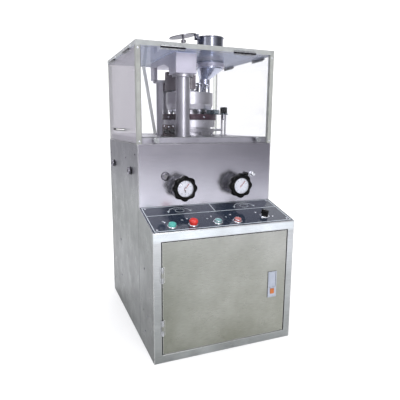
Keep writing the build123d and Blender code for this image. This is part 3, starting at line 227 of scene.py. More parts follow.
mats = {
    # Cabinet steel: darker in cloudy patches towards the floor, darker and lilac from 460 mm up, painted
    # shade on the outer sides and a painted highlight along the front's top rail.
    "cabinet": finish("brushed_cabinet", srgb(212, 215, 217), srgb(164, 167, 167), (0.24, 0.4), 0.95,
        grain=(0.012, 0.012, 1), fine=1700.0, grain_share=0.12, mottle=5.0, bump=0.14, wear_and_highlight=PAINTED_EDGE_HIGHLIGHT,
        edge=0.004, low=(0.0, 0.42, (0.40, 0.41, 0.385, 1)), high=(0.46, 0.62, (0.80, 0.76, 0.86, 1)),
        sides=((0.44, 0.445, 0.43, 1), (0.7, 0.72, 0.69, 1)), rail=(0.376, 0.388, (1.3, 1.34, 1.36, 1))),
    # Door steel: darker and olive towards the floor and darker towards negative x: painted shade.
    "door": finish("brushed_door", srgb(182, 183, 178), srgb(142, 144, 136), (0.24, 0.38), 0.95,
        grain=(0.03, 1, 1), fine=1700.0, grain_share=0.14, mottle=5.0, bump=0.18, wear_and_highlight=PAINTED_EDGE_HIGHLIGHT,
        edge=0.003, low=(0.0, 0.4, (0.62, 0.625, 0.54, 1)), across=(0.02, -0.2, (0.8, 0.81, 0.79, 1))),
    # Upper panel: darker from 470 mm up, painted shade, and darker towards positive x, a painted reflection.
    "upper": finish("brushed_panel", srgb(222, 221, 230), srgb(174, 173, 185), (0.22, 0.27), 0.95,
        grain=(0.012, 1, 1), fine=1900.0, grain_share=0.10, mottle=4.0, bump=0.12, wear_and_highlight=PAINTED_EDGE_HIGHLIGHT,
        edge=0.0014, high=(0.47, 0.62, (0.52, 0.51, 0.52, 1)), across=(-0.1, 0.2, (0.76, 0.76, 0.77, 1))),
    "inside": finish("sheet_inside", srgb(150, 150, 146), srgb(120, 120, 116), (0.4, 0.6), 0.7,
        mottle=12.0),
    "film": finish("console_film", srgb(44, 54, 70), srgb(26, 33, 46), (0.05, 0.14), 0.0, mottle=9.0,
        grain_share=0.10, bump=0.06, fine=1200.0, speckle=0.2, Coat_Weight=0.7, Coat_Roughness=0.03),
    "chrome": finish("chrome", CHROME, srgb(196, 198, 206), (0.1, 0.2), 1.0, mottle=24.0,
        mottle_share=0.35, grain_share=0.03, bump=0.01, edge=0.0005),
    # Hinge steel: the near-black band from about 945 to 950 mm on the leaves is a painted shadow line.
    "hinge": finish("hinge_steel", srgb(186, 188, 190), srgb(140, 142, 145), (0.2, 0.36), 1.0,
        mottle=30.0, mottle_share=0.5, grain_share=0.08, bump=0.05, edge=0.0005,
        high=(0.9452, 0.9462, (0.05, 0.045, 0.05, 1), 0.9502)),
    # A darker copy of the polished steel: painted shade on the hopper lid's underside and painted dark
    # reflections on the latch knobs; its near-white edges are painted highlights.
    "lid": finish("lid_steel", srgb(150, 148, 156), srgb(96, 94, 102), (0.14, 0.3), 1.0, mottle=22.0,
        mottle_share=0.7, grain_share=0.06, bump=0.04, wear_and_highlight=(srgb(240, 240, 240), 0.6), edge=0.0008),
    # Feeder lip: dark navy whose near-white patches and edges are painted highlights.
    "lip": finish("feeder_lip", srgb(38, 46, 62), srgb(176, 196, 198), (0.2, 0.4), 0.3, mottle=150.0,
        mottle_share=0.9, grain_share=0.1, bump=0.1, wear_and_highlight=(srgb(190, 206, 210), 0.5)),
    # Setting plate: its near-white edges are painted highlights.
    "setting": finish("setting_iron", srgb(66, 54, 54), srgb(34, 28, 30), (0.25, 0.5), 0.6, mottle=60.0,
        mottle_share=0.9, grain_share=0.15, bump=0.25, wear_and_highlight=(srgb(200, 194, 190), 0.9), edge=0.0012),
    # Hopper steel: darker from 975 mm up, painted shade, and lighter in patches below 942 mm, painted light.
    "hopper": finish("polished_hopper", srgb(198, 202, 214), srgb(158, 162, 176), (0.16, 0.28), 1.0,
        grain=(0.02, 0.02, 1), fine=1800.0, mottle=12.0, mottle_share=0.6, grain_share=0.05, bump=0.02,
        edge=0.0006, high=(0.975, 0.985, (0.6, 0.6, 0.62, 1)), low=(0.942, 0.948, (1.5, 1.5, 1.5, 1))),
    "turned": finish("turned_steel", srgb(204, 203, 206), srgb(170, 167, 173), (0.3, 0.42), 1.0,
        grain=(0.02, 0.02, 1), fine=2400.0, grain_share=0.08, mottle=9.0, bump=0.03, edge=0.0004),
    # Bridge and bracket plate: their near-white edges are painted highlights.
    "ground": finish("ground_plate", srgb(226, 223, 232), srgb(190, 186, 198), (0.3, 0.44), 0.85,
        grain=(1, 1, 0.03), fine=1500.0, grain_share=0.07, mottle=9.0, bump=0.10,
        wear_and_highlight=(srgb(238, 238, 240), 0.8), edge=0.0014),
    "deck": finish("deck_steel", srgb(176, 174, 178), srgb(124, 122, 128), (0.3, 0.42), 0.95,
        grain=(0.012, 1, 1), fine=1900.0, grain_share=0.08, mottle=9.0, bump=0.10, wear_and_highlight=PAINTED_EDGE_HIGHLIGHT,
        edge=0.001),
    "iron": finish("cast_iron", srgb(124, 116, 120), srgb(78, 70, 75), (0.38, 0.6), 0.55, mottle=30.0,
        grain_share=0.2, bump=0.5, fine=520.0, wear_and_highlight=(srgb(150, 150, 152), 0.7), edge=0.0012),
    "table": finish("oiled_table", srgb(62, 22, 42), srgb(30, 13, 24), (0.25, 0.45), 0.25, mottle=60.0,
        mottle_share=0.8, grain_share=0.15, bump=0.15, fine=800.0, wear_and_highlight=(srgb(150, 120, 124), 0.45),
        edge=0.0006),
    "black": finish("black_moulded", srgb(10, 10, 12), srgb(5, 5, 6), (0.1, 0.22), 0.0, mottle=40.0,
        grain_share=0.2, bump=0.06, fine=1500.0, wear_and_highlight=(srgb(60, 60, 64), 0.3), edge=0.0007,
        Specular_IOR_Level=0.28),
    # Handwheel grips: the grey edges are painted highlights.
    "grip": finish("black_polished", srgb(6, 6, 7), srgb(3, 3, 4), (0.05, 0.14), 0.0, mottle=40.0,
        grain_share=0.2, bump=0.03, fine=1500.0, wear_and_highlight=(srgb(120, 120, 126), 0.3), edge=0.0005,
        Specular_IOR_Level=0.14),
    "matt_black": finish("black_matt", srgb(30, 30, 32), srgb(18, 18, 20), (0.5, 0.75), 0.0, mottle=40.0,
        grain_share=0.25, bump=0.4, fine=1100.0),
    "motor": finish("hammered_paint", srgb(84, 98, 112), srgb(64, 76, 90), (0.25, 0.45), 0.1, mottle=20.0,
        bump=0.9, fine=260.0, wear_and_highlight=(srgb(140, 146, 150), 0.6), Coat_Weight=0.3),
    "rubber": finish("belt_rubber", srgb(34, 33, 32), srgb(22, 21, 21), (0.6, 0.85), 0.0, mottle=50.0,
        grain_share=0.3, bump=0.5, fine=900.0, wear_and_highlight=(srgb(70, 68, 66), 0.5)),
    "teal": finish("teal_plastic", srgb(92, 190, 178), srgb(66, 160, 150), (0.2, 0.4), 0.0, mottle=60.0,
        mottle_share=0.6, grain_share=0.06, bump=0.05, wear_and_highlight=(srgb(170, 226, 216), 0.7), Coat_Weight=0.5,
        Subsurface_Weight=0.08, Subsurface_Scale=0.003),
    "red": finish("red_plastic", srgb(224, 44, 34), srgb(186, 30, 24), (0.18, 0.36), 0.0, mottle=60.0,
        grain_share=0.06, bump=0.05, wear_and_highlight=(srgb(244, 120, 100), 0.6), Coat_Weight=0.5,
        Subsurface_Weight=0.06, Subsurface_Scale=0.003),
    "clear_teal": finish("lens_teal", srgb(150, 206, 204), srgb(96, 160, 160), (0.1, 0.24), 0.0,
        mottle=110.0, mottle_share=0.9, grain_share=0.1, bump=0.1, wear_and_highlight=(srgb(232, 246, 244), 0.9),
        Coat_Weight=0.8, Transmission_Weight=0.25),
    "clear_red": finish("lens_red", srgb(224, 132, 124), srgb(190, 60, 56), (0.1, 0.24), 0.0,
        mottle=110.0, mottle_share=0.9, grain_share=0.1, bump=0.1, wear_and_highlight=(srgb(248, 226, 222), 0.9),
        Coat_Weight=0.8, Transmission_Weight=0.25),
    "orange": finish("orange_plastic", srgb(200, 112, 48), srgb(168, 84, 34), (0.3, 0.5), 0.0,
        mottle=90.0, grain_share=0.1, bump=0.1, wear_and_highlight=(srgb(226, 160, 110), 0.6)),
    "lock": finish("satin_lock", srgb(182, 188, 200), srgb(158, 165, 178), (0.32, 0.46), 0.35,
        mottle=30.0, grain=(1, 1, 0.04), grain_share=0.05, bump=0.08, wear_and_highlight=(srgb(226, 230, 236), 0.8),
        edge=0.0008),
    "white": finish("white_enamel", srgb(238, 240, 246), srgb(222, 226, 234), (0.18, 0.3), 0.0,
        mottle=50.0, grain_share=0.02, bump=0.02, Coat_Weight=0.3),
    "ink": finish("white_ink", srgb(226, 234, 238), srgb(202, 212, 220), (0.35, 0.5), 0.0, mottle=80.0,
        grain_share=0.05, bump=0.05),
    "mark": finish("dial_ink", srgb(70, 70, 76), srgb(48, 48, 54), (0.4, 0.6), 0.0, mottle=120.0),
    "pointer_red": finish("pointer_red", srgb(178, 66, 48), srgb(146, 46, 34), (0.35, 0.5), 0.1,
        mottle=160.0, wear_and_highlight=(srgb(200, 120, 100), 0.6), edge=0.0003),
    "pointer_grey": finish("pointer_grey", srgb(88, 86, 84), srgb(64, 62, 62), (0.35, 0.5), 0.2,
        mottle=160.0, wear_and_highlight=(srgb(150, 148, 146), 0.6), edge=0.0003),
    # Stay bar: its faint emission is painted light.
    "stay": finish("stay_paint", srgb(236, 237, 232), srgb(206, 208, 200), (0.35, 0.55), 0.0, mottle=22.0,
        bump=0.2, wear_and_highlight=(srgb(220, 220, 214), 0.5), Emission_Color=srgb(206, 207, 198),
        Emission_Strength=0.25),
    # Feeder: its near-white edges are painted highlights.
    "feeder": finish("feeder_bronze", srgb(92, 110, 116), srgb(52, 64, 78), (0.16, 0.34), 0.8,
        mottle=26.0, mottle_share=0.9, grain_share=0.08, bump=0.1, wear_and_highlight=(srgb(206, 226, 224), 0.9)),
    "gap": finish("shadow_gap", srgb(30, 30, 29), srgb(18, 18, 18), (0.7, 0.9), 0.0, mottle=60.0),
    "seal_and_gap_shadow": finish("grey_seal", srgb(110, 112, 108), srgb(88, 90, 86), (0.5, 0.7), 0.0, mottle=60.0,
        bump=0.3),
}
EDGE, CLEAR, FAINT = srgb(192, 194, 189), srgb(255, 255, 255), srgb(222, 224, 230)
# The left side pane is a hazy lilac copy of the clear acrylic: a painted reflection.
mats["pane_x"] = clear_sheet("acrylic_side", 0, srgb(252, 251, 254), srgb(206, 200, 210), 0.30, EDGE)
mats["pane_right"] = clear_sheet("acrylic_right", 0, CLEAR, FAINT, 0.006, EDGE,
                                 edge_share=0.3, gloss=0.25)
mats["pane_rear"] = clear_sheet("acrylic_rear", 1, CLEAR, FAINT, 0.006, EDGE,
                                edge_share=0.08, gloss=0.2)
mats["pane_y"] = clear_sheet("acrylic_front", 1, srgb(253, 253, 255), FAINT, 0.008, EDGE,
                             gloss=0.5)
mats["pane_z"] = clear_sheet("acrylic_top", 2, srgb(226, 231, 242), srgb(166, 174, 196), 0.36, EDGE)
mats["post"] = clear_sheet("acrylic_post", 2, srgb(244, 245, 242), srgb(222, 223, 217), 0.45, EDGE, 0.72,
                           clear_from=0.1)
mats["lens"] = clear_sheet("dial_glass", 1, srgb(254, 254, 255), srgb(230, 234, 240), 0.01,
                           srgb(200, 206, 210), gloss=0.4)

NODE_FINISH = {
    "cabinet": ["cabinet_shell"], "door": ["cabinet_door"], "upper": ["upper_front_panel"],
    "film": ["control_panel"], "matt_black": ["lock_body", "cable_gland"], "lock": ["lock_lever"],
    "orange": ["lock_button"], "post": ["corner_posts"], "deck": ["deck_plate", "dust_ring"],
    "pane_z": ["cover_top"], "pane_y": ["front_door"], "pane_rear": ["rear_cover_panel"],
    "pane_x": ["left_door"], "pane_right": ["right_door"], "stay": ["stay_bar"],
    "hinge": ["front_door_fittings", "left_door_leaves", "right_door_leaves", "fixed_hinge_leaves"],
    "chrome": ["upper_pressure_roller", "lower_pressure_roller"],
    "hopper": ["hopper"], "lid": ["hopper_lid"],
    "turned": ["tie_columns", "clamp_post", "turret_shaft", "upper_drum", "lower_drum"],
    "ground": ["bridge_casting", "hopper_bracket"],
    "iron": ["cam_housing", "turret_housing", "main_gear", "layshaft", "motor_pulley"],
    "table": ["die_table"], "motor": ["motor_casing"], "rubber": ["drive_belt"],
    "feeder": ["feed_frame"], "inside": ["discharge_chute"], "black": ["shaft_bushes"],
    "pointer_red": ["left_long_pointer", "right_long_pointer"], "pointer_grey": ["left_short_pointer"],
}


for key, node_names in NODE_FINISH.items():
    for node_name in node_names:
        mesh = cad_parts[node_name].data
        mesh.materials.clear()
        mesh.materials.append(mats[key])


# -------------------------------- places

def placed(x, y, z, right, up):
    """A place with local X to the right, local Y up the face, and local Z out of the face."""
    right, up = Vector(right), Vector(up)
    matrix = Matrix((right, up, right.cross(up))).transposed().to_4x4()
    matrix.translation = (x, y, z)
    return matrix


def on_front(x, z, y=Y_PANEL):
    return placed(x, y, z, (1, 0, 0), (0, 0, 1))


def on_left(y, z):
    return placed(-HALF, y, z, (0, -1, 0), (0, 0, 1))


def on_right(y, z):
    return placed(HALF, y, z, (0, 1, 0), (0, 0, 1))


def on_back(x, z):
    return placed(x, Y_BACK, z, (-1, 0, 0), (0, 0, 1))


def on_console(x, up):
    """A place on the sloping console, up the slope from its lower edge."""
    rise = (0, cos(SLOPE), sin(SLOPE))
    return placed(x, Y_FRONT + up * rise[1], Z_LIP + up * rise[2], (1, 0, 0), rise)


def upright(x, y, z):
    return Matrix.Translation((x, y, z))


def around(x, y, r, degrees, z):
    """An upright place at a radius and an angle about a vertical axis."""
    return upright(x + r * cos(radians(degrees)), y + r * sin(radians(degrees)), z)


def turned(place, degrees, axis="Z"):
    return place @ Matrix.Rotation(radians(degrees), 4, axis)


# -------------------------------- shapes

def rounded(points, radius, steps=3, closed=False):
    """Round the corners of a line of 2-D points."""
    points = [Vector(p) for p in points]
    result = []
    for k, p in enumerate(points):
        if not closed and k in (0, len(points) - 1):
            result.append(p)
            continue
        before, after = points[k - 1] - p, points[(k + 1) % len(points)] - p
        reach = min(radius, before.length * 0.48, after.length * 0.48)
        a, b = p + before.normalized() * reach, p + after.normalized() * reach
        for s in range(steps + 1):
            t = s / steps
            result.append(a * (1 - t) ** 2 + p * 2 * t * (1 - t) + b * t ** 2)
    return result


def arc(cx, cy, rx, ry, a0, a1, steps):
    angles = [radians(a0 + (a1 - a0) * k / steps) for k in range(steps + 1)]
    return [(cx + rx * cos(angle), cy + ry * sin(angle)) for angle in angles]


class Shape:
    """Closed shells gathered into one mesh."""

    def __init__(self):
        self.verts, self.faces = [], []

    def add(self, verts, faces, place):
        first = len(self.verts)
        self.verts += [place @ Vector(v) for v in verts]
        self.faces += [[i + first for i in face] for face in faces]
        return self

    def lathe(self, profile, place, seg=48, closed=False, radius=None):
        """Turn (radius, height) points about local Z; radius(r, angle) may reshape each ring."""
        verts, faces, rings = [], [], []
        for r, h in profile:
            if r < 1e-6:
                rings.append([len(verts)])
                verts.append((0, 0, h))
                continue
            ring = []
            for s in range(seg):
                angle = 2 * pi * s / seg
                reach = radius(r, angle) if radius else r
                ring.append(len(verts))
                verts.append((reach * cos(angle), reach * sin(angle), h))
            rings.append(ring)
        pairs = list(zip(rings, rings[1:])) + ([(rings[-1], rings[0])] if closed else [])
        for a, b in pairs:
            for s in range(seg):
                t = (s + 1) % seg
                corner = [a[s % len(a)], a[t % len(a)], b[t % len(b)], b[s % len(b)]]
                face = [v for i, v in enumerate(corner) if v not in corner[:i]]
                if len(face) > 2:
                    faces.append(face)
        return self.add(verts, faces, place)

    def ring(self, section, soft, place, seg, steps=3, radius=None):
        """A ring turned about local Z from a closed section with rounded corners."""
        return self.lathe(rounded(section, soft, steps, True), place, seg, True, radius)

    def slab(self, x0, x1, y0, y1, z0, z1, edge=0.6, place=Matrix(), segments=2):
        """A block with rounded edges."""
        bm = bmesh.new()
        bmesh.ops.create_cube(bm, size=1)
        for v in bm.verts:
            v.co = ((x0 + x1) / 2 + v.co.x * (x1 - x0), (y0 + y1) / 2 + v.co.y * (y1 - y0),
                    (z0 + z1) / 2 + v.co.z * (z1 - z0))
        if edge:
            bmesh.ops.bevel(bm, geom=bm.edges[:], offset=edge, segments=segments, affect="EDGES", profile=0.5)
        bm.verts.index_update()
        self.add([v.co.copy() for v in bm.verts], [[v.index for v in f.verts] for f in bm.faces], place)
        bm.free()
        return self

    def window(self, outer, inner, h0, h1, place):
        """A flat rectangular plate with a rectangular window."""
        (ox0, ox1, oz0, oz1), (ix0, ix1, iz0, iz1) = outer, inner
        bars = ((ox0, ox1, oz0, iz0), (ox0, ox1, iz1, oz1), (ox0, ix0, iz0, iz1), (ix1, ox1, iz0, iz1))
        for bar in bars:
            self.slab(*bar, h0, h1, 0.08, place, 1)

    def prism(self, outline, h0, h1, place, edge=0.0):
        """Extrude a closed outline along local Z, with a small chamfer on the top edge."""
        count = len(outline)
        centre = sum((Vector(p) for p in outline), Vector((0, 0))) / count
        layers = [(h0, 0.0), (h1 - edge, 0.0)] + ([(h1, edge)] if edge else [])
        verts, faces = [], []
        for h, inset in layers:
            for p in outline:
                away = Vector(p) - centre
                q = Vector(p) - away.normalized() * inset
                verts.append((q.x, q.y, h))
        for layer in range(len(layers) - 1):
            for k in range(count):
                a, b = layer * count + k, layer * count + (k + 1) % count
                faces.append([a, b, b + count, a + count])
        top = (len(layers) - 1) * count
        faces.append(list(reversed(range(count))))
        faces.append([top + k for k in range(count)])
        return self.add(verts, faces, place)

    def ribbon(self, points, wide, thick, place, closed=False):
        """A flat line of even width laid on the place's face."""
        points = [Vector(p) for p in points]
        count = len(points)
        verts = []
        for k, p in enumerate(points):
            before = points[k - 1] if closed or k else p
            after = points[(k + 1) % count] if closed or k < count - 1 else p
            one = (p - before).normalized() if (p - before).length else (after - p).normalized()
            two = (after - p).normalized() if (after - p).length else one
            across = (one + two).normalized()
            normal = Vector((-across.y, across.x))
            reach = wide / 2 / max(0.35, abs(normal.dot(Vector((-one.y, one.x)))))
            a, b = p + normal * reach, p - normal * reach
            verts += [(a.x, a.y, 0.02), (b.x, b.y, 0.02), (b.x, b.y, thick), (a.x, a.y, thick)]
        faces = []
        for k in range(count if closed else count - 1):
            i, j = 4 * k, 4 * ((k + 1) % count)
            for s in range(4):
                t = (s + 1) % 4
                faces.append([i + s, i + t, j + t, j + s])
        if not closed:
            end = 4 * (count - 1)
            faces += [[3, 2, 1, 0], [end, end + 1, end + 2, end + 3]]
        return self.add(verts, faces, place)

    def fan(self, r0, r1, a0, a1, z0, z1, steps):
        """A flat part of a ring about the turret's axis."""
        outline = arc(TX, TY, r1, r1, a0, a1, steps) + arc(TX, TY, r0, r0, a1, a0, steps)
        total = len(outline)
        verts = [(x, y, z) for z in (z0, z1) for x, y in outline]
        faces = []
        for k in range(total):
            j = (k + 1) % total
            faces.append([k, j, j + total, k + total])
        for k in range(steps):
            j = total - 1 - k
            faces.append([k, k + 1, j - 1, j])
            faces.append([total + j, total + j - 1, total + k + 1, total + k])
        return self.add(verts, faces, Matrix())

    def screw(self, place, r=4.0, high=2.0):
        """A low head with a round socket."""
        profile = rounded([(r, 0), (r, high * 0.45), (r * 0.72, high), (r * 0.42, high)], high * 0.3)
        socket = [(r * 0.36, high - 0.1), (r * 0.34, high * 0.35), (0, high * 0.3)]
        return self.lathe([(0, 0.01)] + profile + socket, place, 20)

    def stud(self, place, r, high):
        """A plain domed head."""
        return self.lathe([(0, 0.01)] + rounded([(r, 0), (r, high * 0.4), (0, high)], r * 0.5, 5), place, 20)

    def socket_bolt(self, place, r, high):
        """A tall head with a deep socket."""
        head = rounded([(r, 0.02), (r, high), (r * 0.62, high)], r * 0.14)
        socket = [(r * 0.52, high), (r * 0.5, high * 0.4), (0, high * 0.4)]
        return self.lathe([(0, 0.02), (r, 0.02)] + head + socket, place, 28)


def piece(name, shape, mat, body="frame", nodes=()):
    """Make a visible piece that rides on a body and stands for the given CAD nodes."""
    mesh = bpy.data.meshes.new(name)
    mesh.from_pydata([v * MM for v in shape.verts], [], shape.faces)
    bm = bmesh.new()
    bm.from_mesh(mesh)
    bmesh.ops.recalc_face_normals(bm, faces=bm.faces)
    bm.to_mesh(mesh)
    bm.free()
    mesh.materials.append(mats[mat])
    mesh.shade_smooth()
    mesh.set_sharp_from_angle(angle=SMOOTH_BELOW)
    obj = bpy.data.objects.new(name, mesh)
    bpy.context.scene.collection.objects.link(obj)
    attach(obj, body)
    if nodes:
        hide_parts(*nodes)


# -------------------------------- console

CONSOLE = on_console(0, 0)
LINE_X, LINE_LOW, LINE_MIDDLE, LINE_TOP, INK = 231, 8, 106.0, 164.0, 0.16
DIALS_X, DIAL_UP = (-116.0, 118.0), 118
BUTTONS = {"green": (-171.0, 32.0), "emergency": (-103.5, 32.0), "start": (-21.0, 32.0), "lamp": (45.5, 29.0)}
SELECTOR, SELECTOR_TURN = on_console(154, 46), 30

lines = Shape()
border = [(-LINE_X, LINE_LOW), (LINE_X, LINE_LOW), (LINE_X, LINE_TOP), (-LINE_X, LINE_TOP)]
lines.ribbon(border, 2.3, INK, CONSOLE, closed=True)
lines.ribbon([(-LINE_X, LINE_MIDDLE), (LINE_X, LINE_MIDDLE)], 2.1, INK, CONSOLE)
lines.ribbon([(2, LINE_MIDDLE), (2, LINE_TOP)], 2.1, INK, CONSOLE)
for dial_x in DIALS_X:
    lines.ribbon(arc(dial_x, DIAL_UP, 38, 34, 12, 168, 30), 1.9, INK, CONSOLE)
    lines.ribbon(arc(dial_x + 2, DIAL_UP + 12, 15, 11, 0, 345, 30), 1.6, INK, CONSOLE)
    for sign in (-1, 1):
        tip_x, tip_up = dial_x + sign * 37.5, DIAL_UP + 2
        head = [(tip_x + sign, tip_up), (tip_x - sign * 5.5, tip_up + 8.5), (tip_x + sign * 4, tip_up + 10)]
        lines.prism(head[::-sign], 0.02, INK, CONSOLE)
    inner_tips = arc(dial_x + 2, DIAL_UP + 12, 19, 14.5, 30, 150, 6)
    outer_tips = arc(dial_x + 2, DIAL_UP + 12, 23, 17.5, 30, 150, 6)
    for tick in zip(inner_tips, outer_tips):
        lines.ribbon(tick, 1.0, INK, CONSOLE)
for mark_x, mark_up in ((-190, 66), (-128, 66), (-46, 62), (20, 62)):
    lines.ribbon(arc(mark_x, mark_up, 2.6, 2.6, 0, 340, 12), 1.1, INK, CONSOLE)
piece("console_lines", lines, "ink")

studs = Shape()
for x, up in ((-110, 73), (-28, 73), (41, 75), (135, 75), (138, 35.7), (181, 40), (-186, 60)):
    studs.stud(on_console(x, up), 3.6, 2.2)
for x in (-222, 222):
    for up in (17, 155):
        studs.screw(on_console(x, up), 3.6, 1.8)
piece("console_studs", studs, "chrome")

bezels = Shape()
for spot in BUTTONS.values():
    section = [(12.5, 0.05), (15.4, 0.05), (15.4, 1.6), (13.8, 3.4), (12.5, 3.4)]
    bezels.ring(section, 0.7, on_console(*spot), 56)
bezels.ring([(11.5, 0.05), (16, 0.05), (16, 1.4), (14, 2.6), (11.5, 2.6)], 0.6, SELECTOR, 56)
piece("button_bezels", bezels, "chrome")


def button(key, part, profile, mat):
    """A button's visible head on its stem."""
    shape = Shape().lathe([(0, -12), (11.9, -12)] + profile, on_console(*BUTTONS[key]), 56)
    piece(f"{key}_{part}", shape, mat, f"{key}_push", [f"{key}_button"])


raised = rounded([(11.9, 3.6), (11.9, 8.6), (10.6, 11), (7.6, 11), (6.8, 10.3), (0, 10.1)], 1.0)
button("green", "cap", raised, "teal")
mushroom = rounded([(11.9, 7.9), (13.2, 8), (14, 10.6), (13.4, 15), (10, 18.2), (0, 19)], 2.0, 5)
button("emergency", "cap", mushroom, "red")
for key, mat, slot in (("start", "clear_teal", "clear_green"), ("lamp", "clear_red", "clear_red")):
    lens = rounded([(11.9, 3.4), (11.9, 6.4), (10.4, 7.2), (10.2, 9.4), (8.6, 10), (0, 10)], 0.8)
    button(key, "lens", lens, mat)
    rim = [(10.55, 6.9), (11.9, 6.5), (11.9, 8.6), (11.2, 9.3), (10.55, 9.3)]
    piece(f"{key}_collar", Shape().ring(rim, 0.4, on_console(*BUTTONS[key]), 56), "chrome",
          f"{key}_push")

hub = [(0, -14), (10.9, -14)] + rounded([(10.9, 3.4), (10.9, 5.2), (9.6, 6), (0, 6)], 0.8)
grip = rounded([(-4, -10.5), (4, -10.5), (4, 12), (0.8, 14.8), (-0.8, 14.8), (-4, 12)], 1.4, 3, True)
selector = Shape().lathe(hub, SELECTOR, 48).prism(grip, 5.6, 22, turned(SELECTOR, SELECTOR_TURN), 1.0)
piece("selector_grip", selector, "black", "selector", ["selector_switch"])
line = Shape().slab(-0.6, 0.6, 2, 13, 21.7, 22.0, 0.1, turned(SELECTOR, SELECTOR_TURN))
piece("selector_line", line, "ink", "selector")

# -------------------------------- handwheels, plug, lever

LOBE_DEEP, LOBES, LOBE_SHARP = 4.6, 8, 0.8
WHEEL_BACK, WHEEL_HUB, SHAFT_END = 190.0, 161.0, -59.0
DIAL_STEPS, TURN_PER_DIGIT = 40, 36.0
SEGMENTS = {
    "a": ((-1, 1), (1, 1)), "b": ((1, 1), (1, 0)), "c": ((1, 0), (1, -1)), "d": ((-1, -1), (1, -1)),
    "e": ((-1, 0), (-1, -1)), "f": ((-1, 1), (-1, 0)), "g": ((-1, 0), (1, 0)),
}
DIGITS = ("abcdef", "bc", "abged", "abgcd", "fgbc", "afgcd", "afgedc", "abc", "abcdefg", "abfgcd")


def lobed(r, angle):
    """The wheel's radius with its lobes, which begin beyond 30 mm."""
    wave = (0.5 + 0.5 * cos(LOBES * angle)) ** LOBE_SHARP
    return r + LOBE_DEEP * wave * max(0.0, min(1.0, (r - 30) / 6))


def numeral(shape, digit, place, size):
    """A plain stroke numeral standing on its place."""
    for key in DIGITS[digit]:
        ends = [(x * size * 0.5, y * size) for x, y in SEGMENTS[key]]
        shape.ribbon(ends, 0.42, 0.2, place)


def handwheel(side, x):
    body = f"{side}_wheel"
    place = on_front(x, WHEEL_Z, 0)
    face, back, hub = WHEEL_FACE, WHEEL_BACK, WHEEL_HUB

    def part(name, shape, mat, slot=BLACK):
        piece(f"{name}_{side}", shape, mat, body)

    rim = rounded([(28.6, face - 1.0), (31, face), (34.5, face - 0.6), (37.2, face - 4), (37.8, face - 9),
                   (37.3, back + 4), (34.9, back), (30, back + 0.5), (24, back - 2), (23.2, back - 8)], 1.6)
    boss = rounded([(23.2, back - 8), (23.6, hub + 4), (22.4, hub), (8, hub)], 1.0)
    profile = [(0, face - 6.4), (28.0, face - 6.4), (28.0, face - 1.4)] + rim + boss
    profile += [(7.95, hub), (7.95, SHAFT_END), (0, SHAFT_END)]
    wheel = Shape().lathe(profile, place, 160, radius=lobed)
    piece(f"handwheel_{side}_grip", wheel, "grip", body, [f"handwheel_{side}"])
    bezel = [(26.4, face - 0.5), (28.3, face), (29.2, face - 0.6), (28.3, face - 2.6), (26.4, face - 2.4)]
    part("dial_bezel", Shape().ring(bezel, 0.5, place, 96), "black")
    back_ring = [(24.0, back - 3.5), (30.2, back - 3.2), (31.2, back - 1.4), (30.6, back + 0.2),
                 (24.0, back - 0.2)]
    part("wheel_ring", Shape().ring(back_ring, 0.7, place, 96), "chrome", STEEL)
    dial = [(0, face - 5.75), (27.7, face - 5.75), (27.7, face - 3.2), (27.3, face - 3.0), (26.9, face - 3.3),
            (26.6, face - 5.35), (0, face - 5.5)]
    part("dial_face", Shape().lathe(dial, place, 96), "white")
    marks = Shape()
    for k in range(DIAL_STEPS):
        inner, wide = (24.2, 0.2) if k % 4 else (22.6, 0.34)
        marks.slab(-wide, wide, inner, 26.0, face - 5.5, face - 5.28, 0, turned(place, 360 / DIAL_STEPS * k))
    marks.ribbon(arc(0, 0, 26.1, 26.1, 0, 360, 72), 0.3, face - 5.3, place)
    for k in range(len(DIGITS)):
        spot = turned(place, -TURN_PER_DIGIT * k) @ upright(0, 19.0, face - 5.5)
        numeral(marks, k, spot, 1.5)
    part("dial_marks", marks, "mark")
    cap = [(0, face - 1.0)] + rounded([(2.6, face - 1.0), (2.6, face - 0.35), (0, face - 0.1)], 0.5)
    part("dial_cap", Shape().lathe(cap, place, 28), "chrome", STEEL)
    lens = [(0, face - 1.05), (26.6, face - 1.05), (26.9, face - 0.8), (26.4, face - 0.5), (0, face - 0.45)]
    part("dial_glass", Shape().lathe(lens, place, 96), "lens", "acrylic")


handwheel("left", -WHEEL_X)
handwheel("right", WHEEL_X)

PLUG = on_front(-150, 552)
head = rounded([(9.95, 0.4), (13.0, 0.4), (13.6, 3.4), (11.6, 6.4), (5.4, 6.6)], 1.0)
barrel = [(0, -16), (9.95, -16), (9.95, 0.4)] + head + [(5.2, 6.4), (5.0, 4.4), (0, 4.4)]
piece("plug_barrel", Shape().lathe(barrel, PLUG, 64), "lid", "plug", ["lock_plug"])
core = [(0, 4.3), (4.8, 4.3), (4.8, 5.6), (4.4, 5.9), (0, 5.9)]
piece("plug_core", Shape().lathe(core, PLUG, 40), "deck", "plug")
# A dark bar on the plug's face for its key slot: painted shade.
slot_shadow = Shape().slab(-0.8, 0.8, -3.6, 3.6, 5.7, 6.05, 0.1, PLUG)
piece("plug_slot_shadow", slot_shadow, "gap", "plug")
collar = [(13.8, 0.05), (14.5, 0.05), (14.5, 0.9), (14.2, 1.3), (13.8, 1.3)]
piece("plug_collar", Shape().ring(collar, 0.2, PLUG, 64), "black")

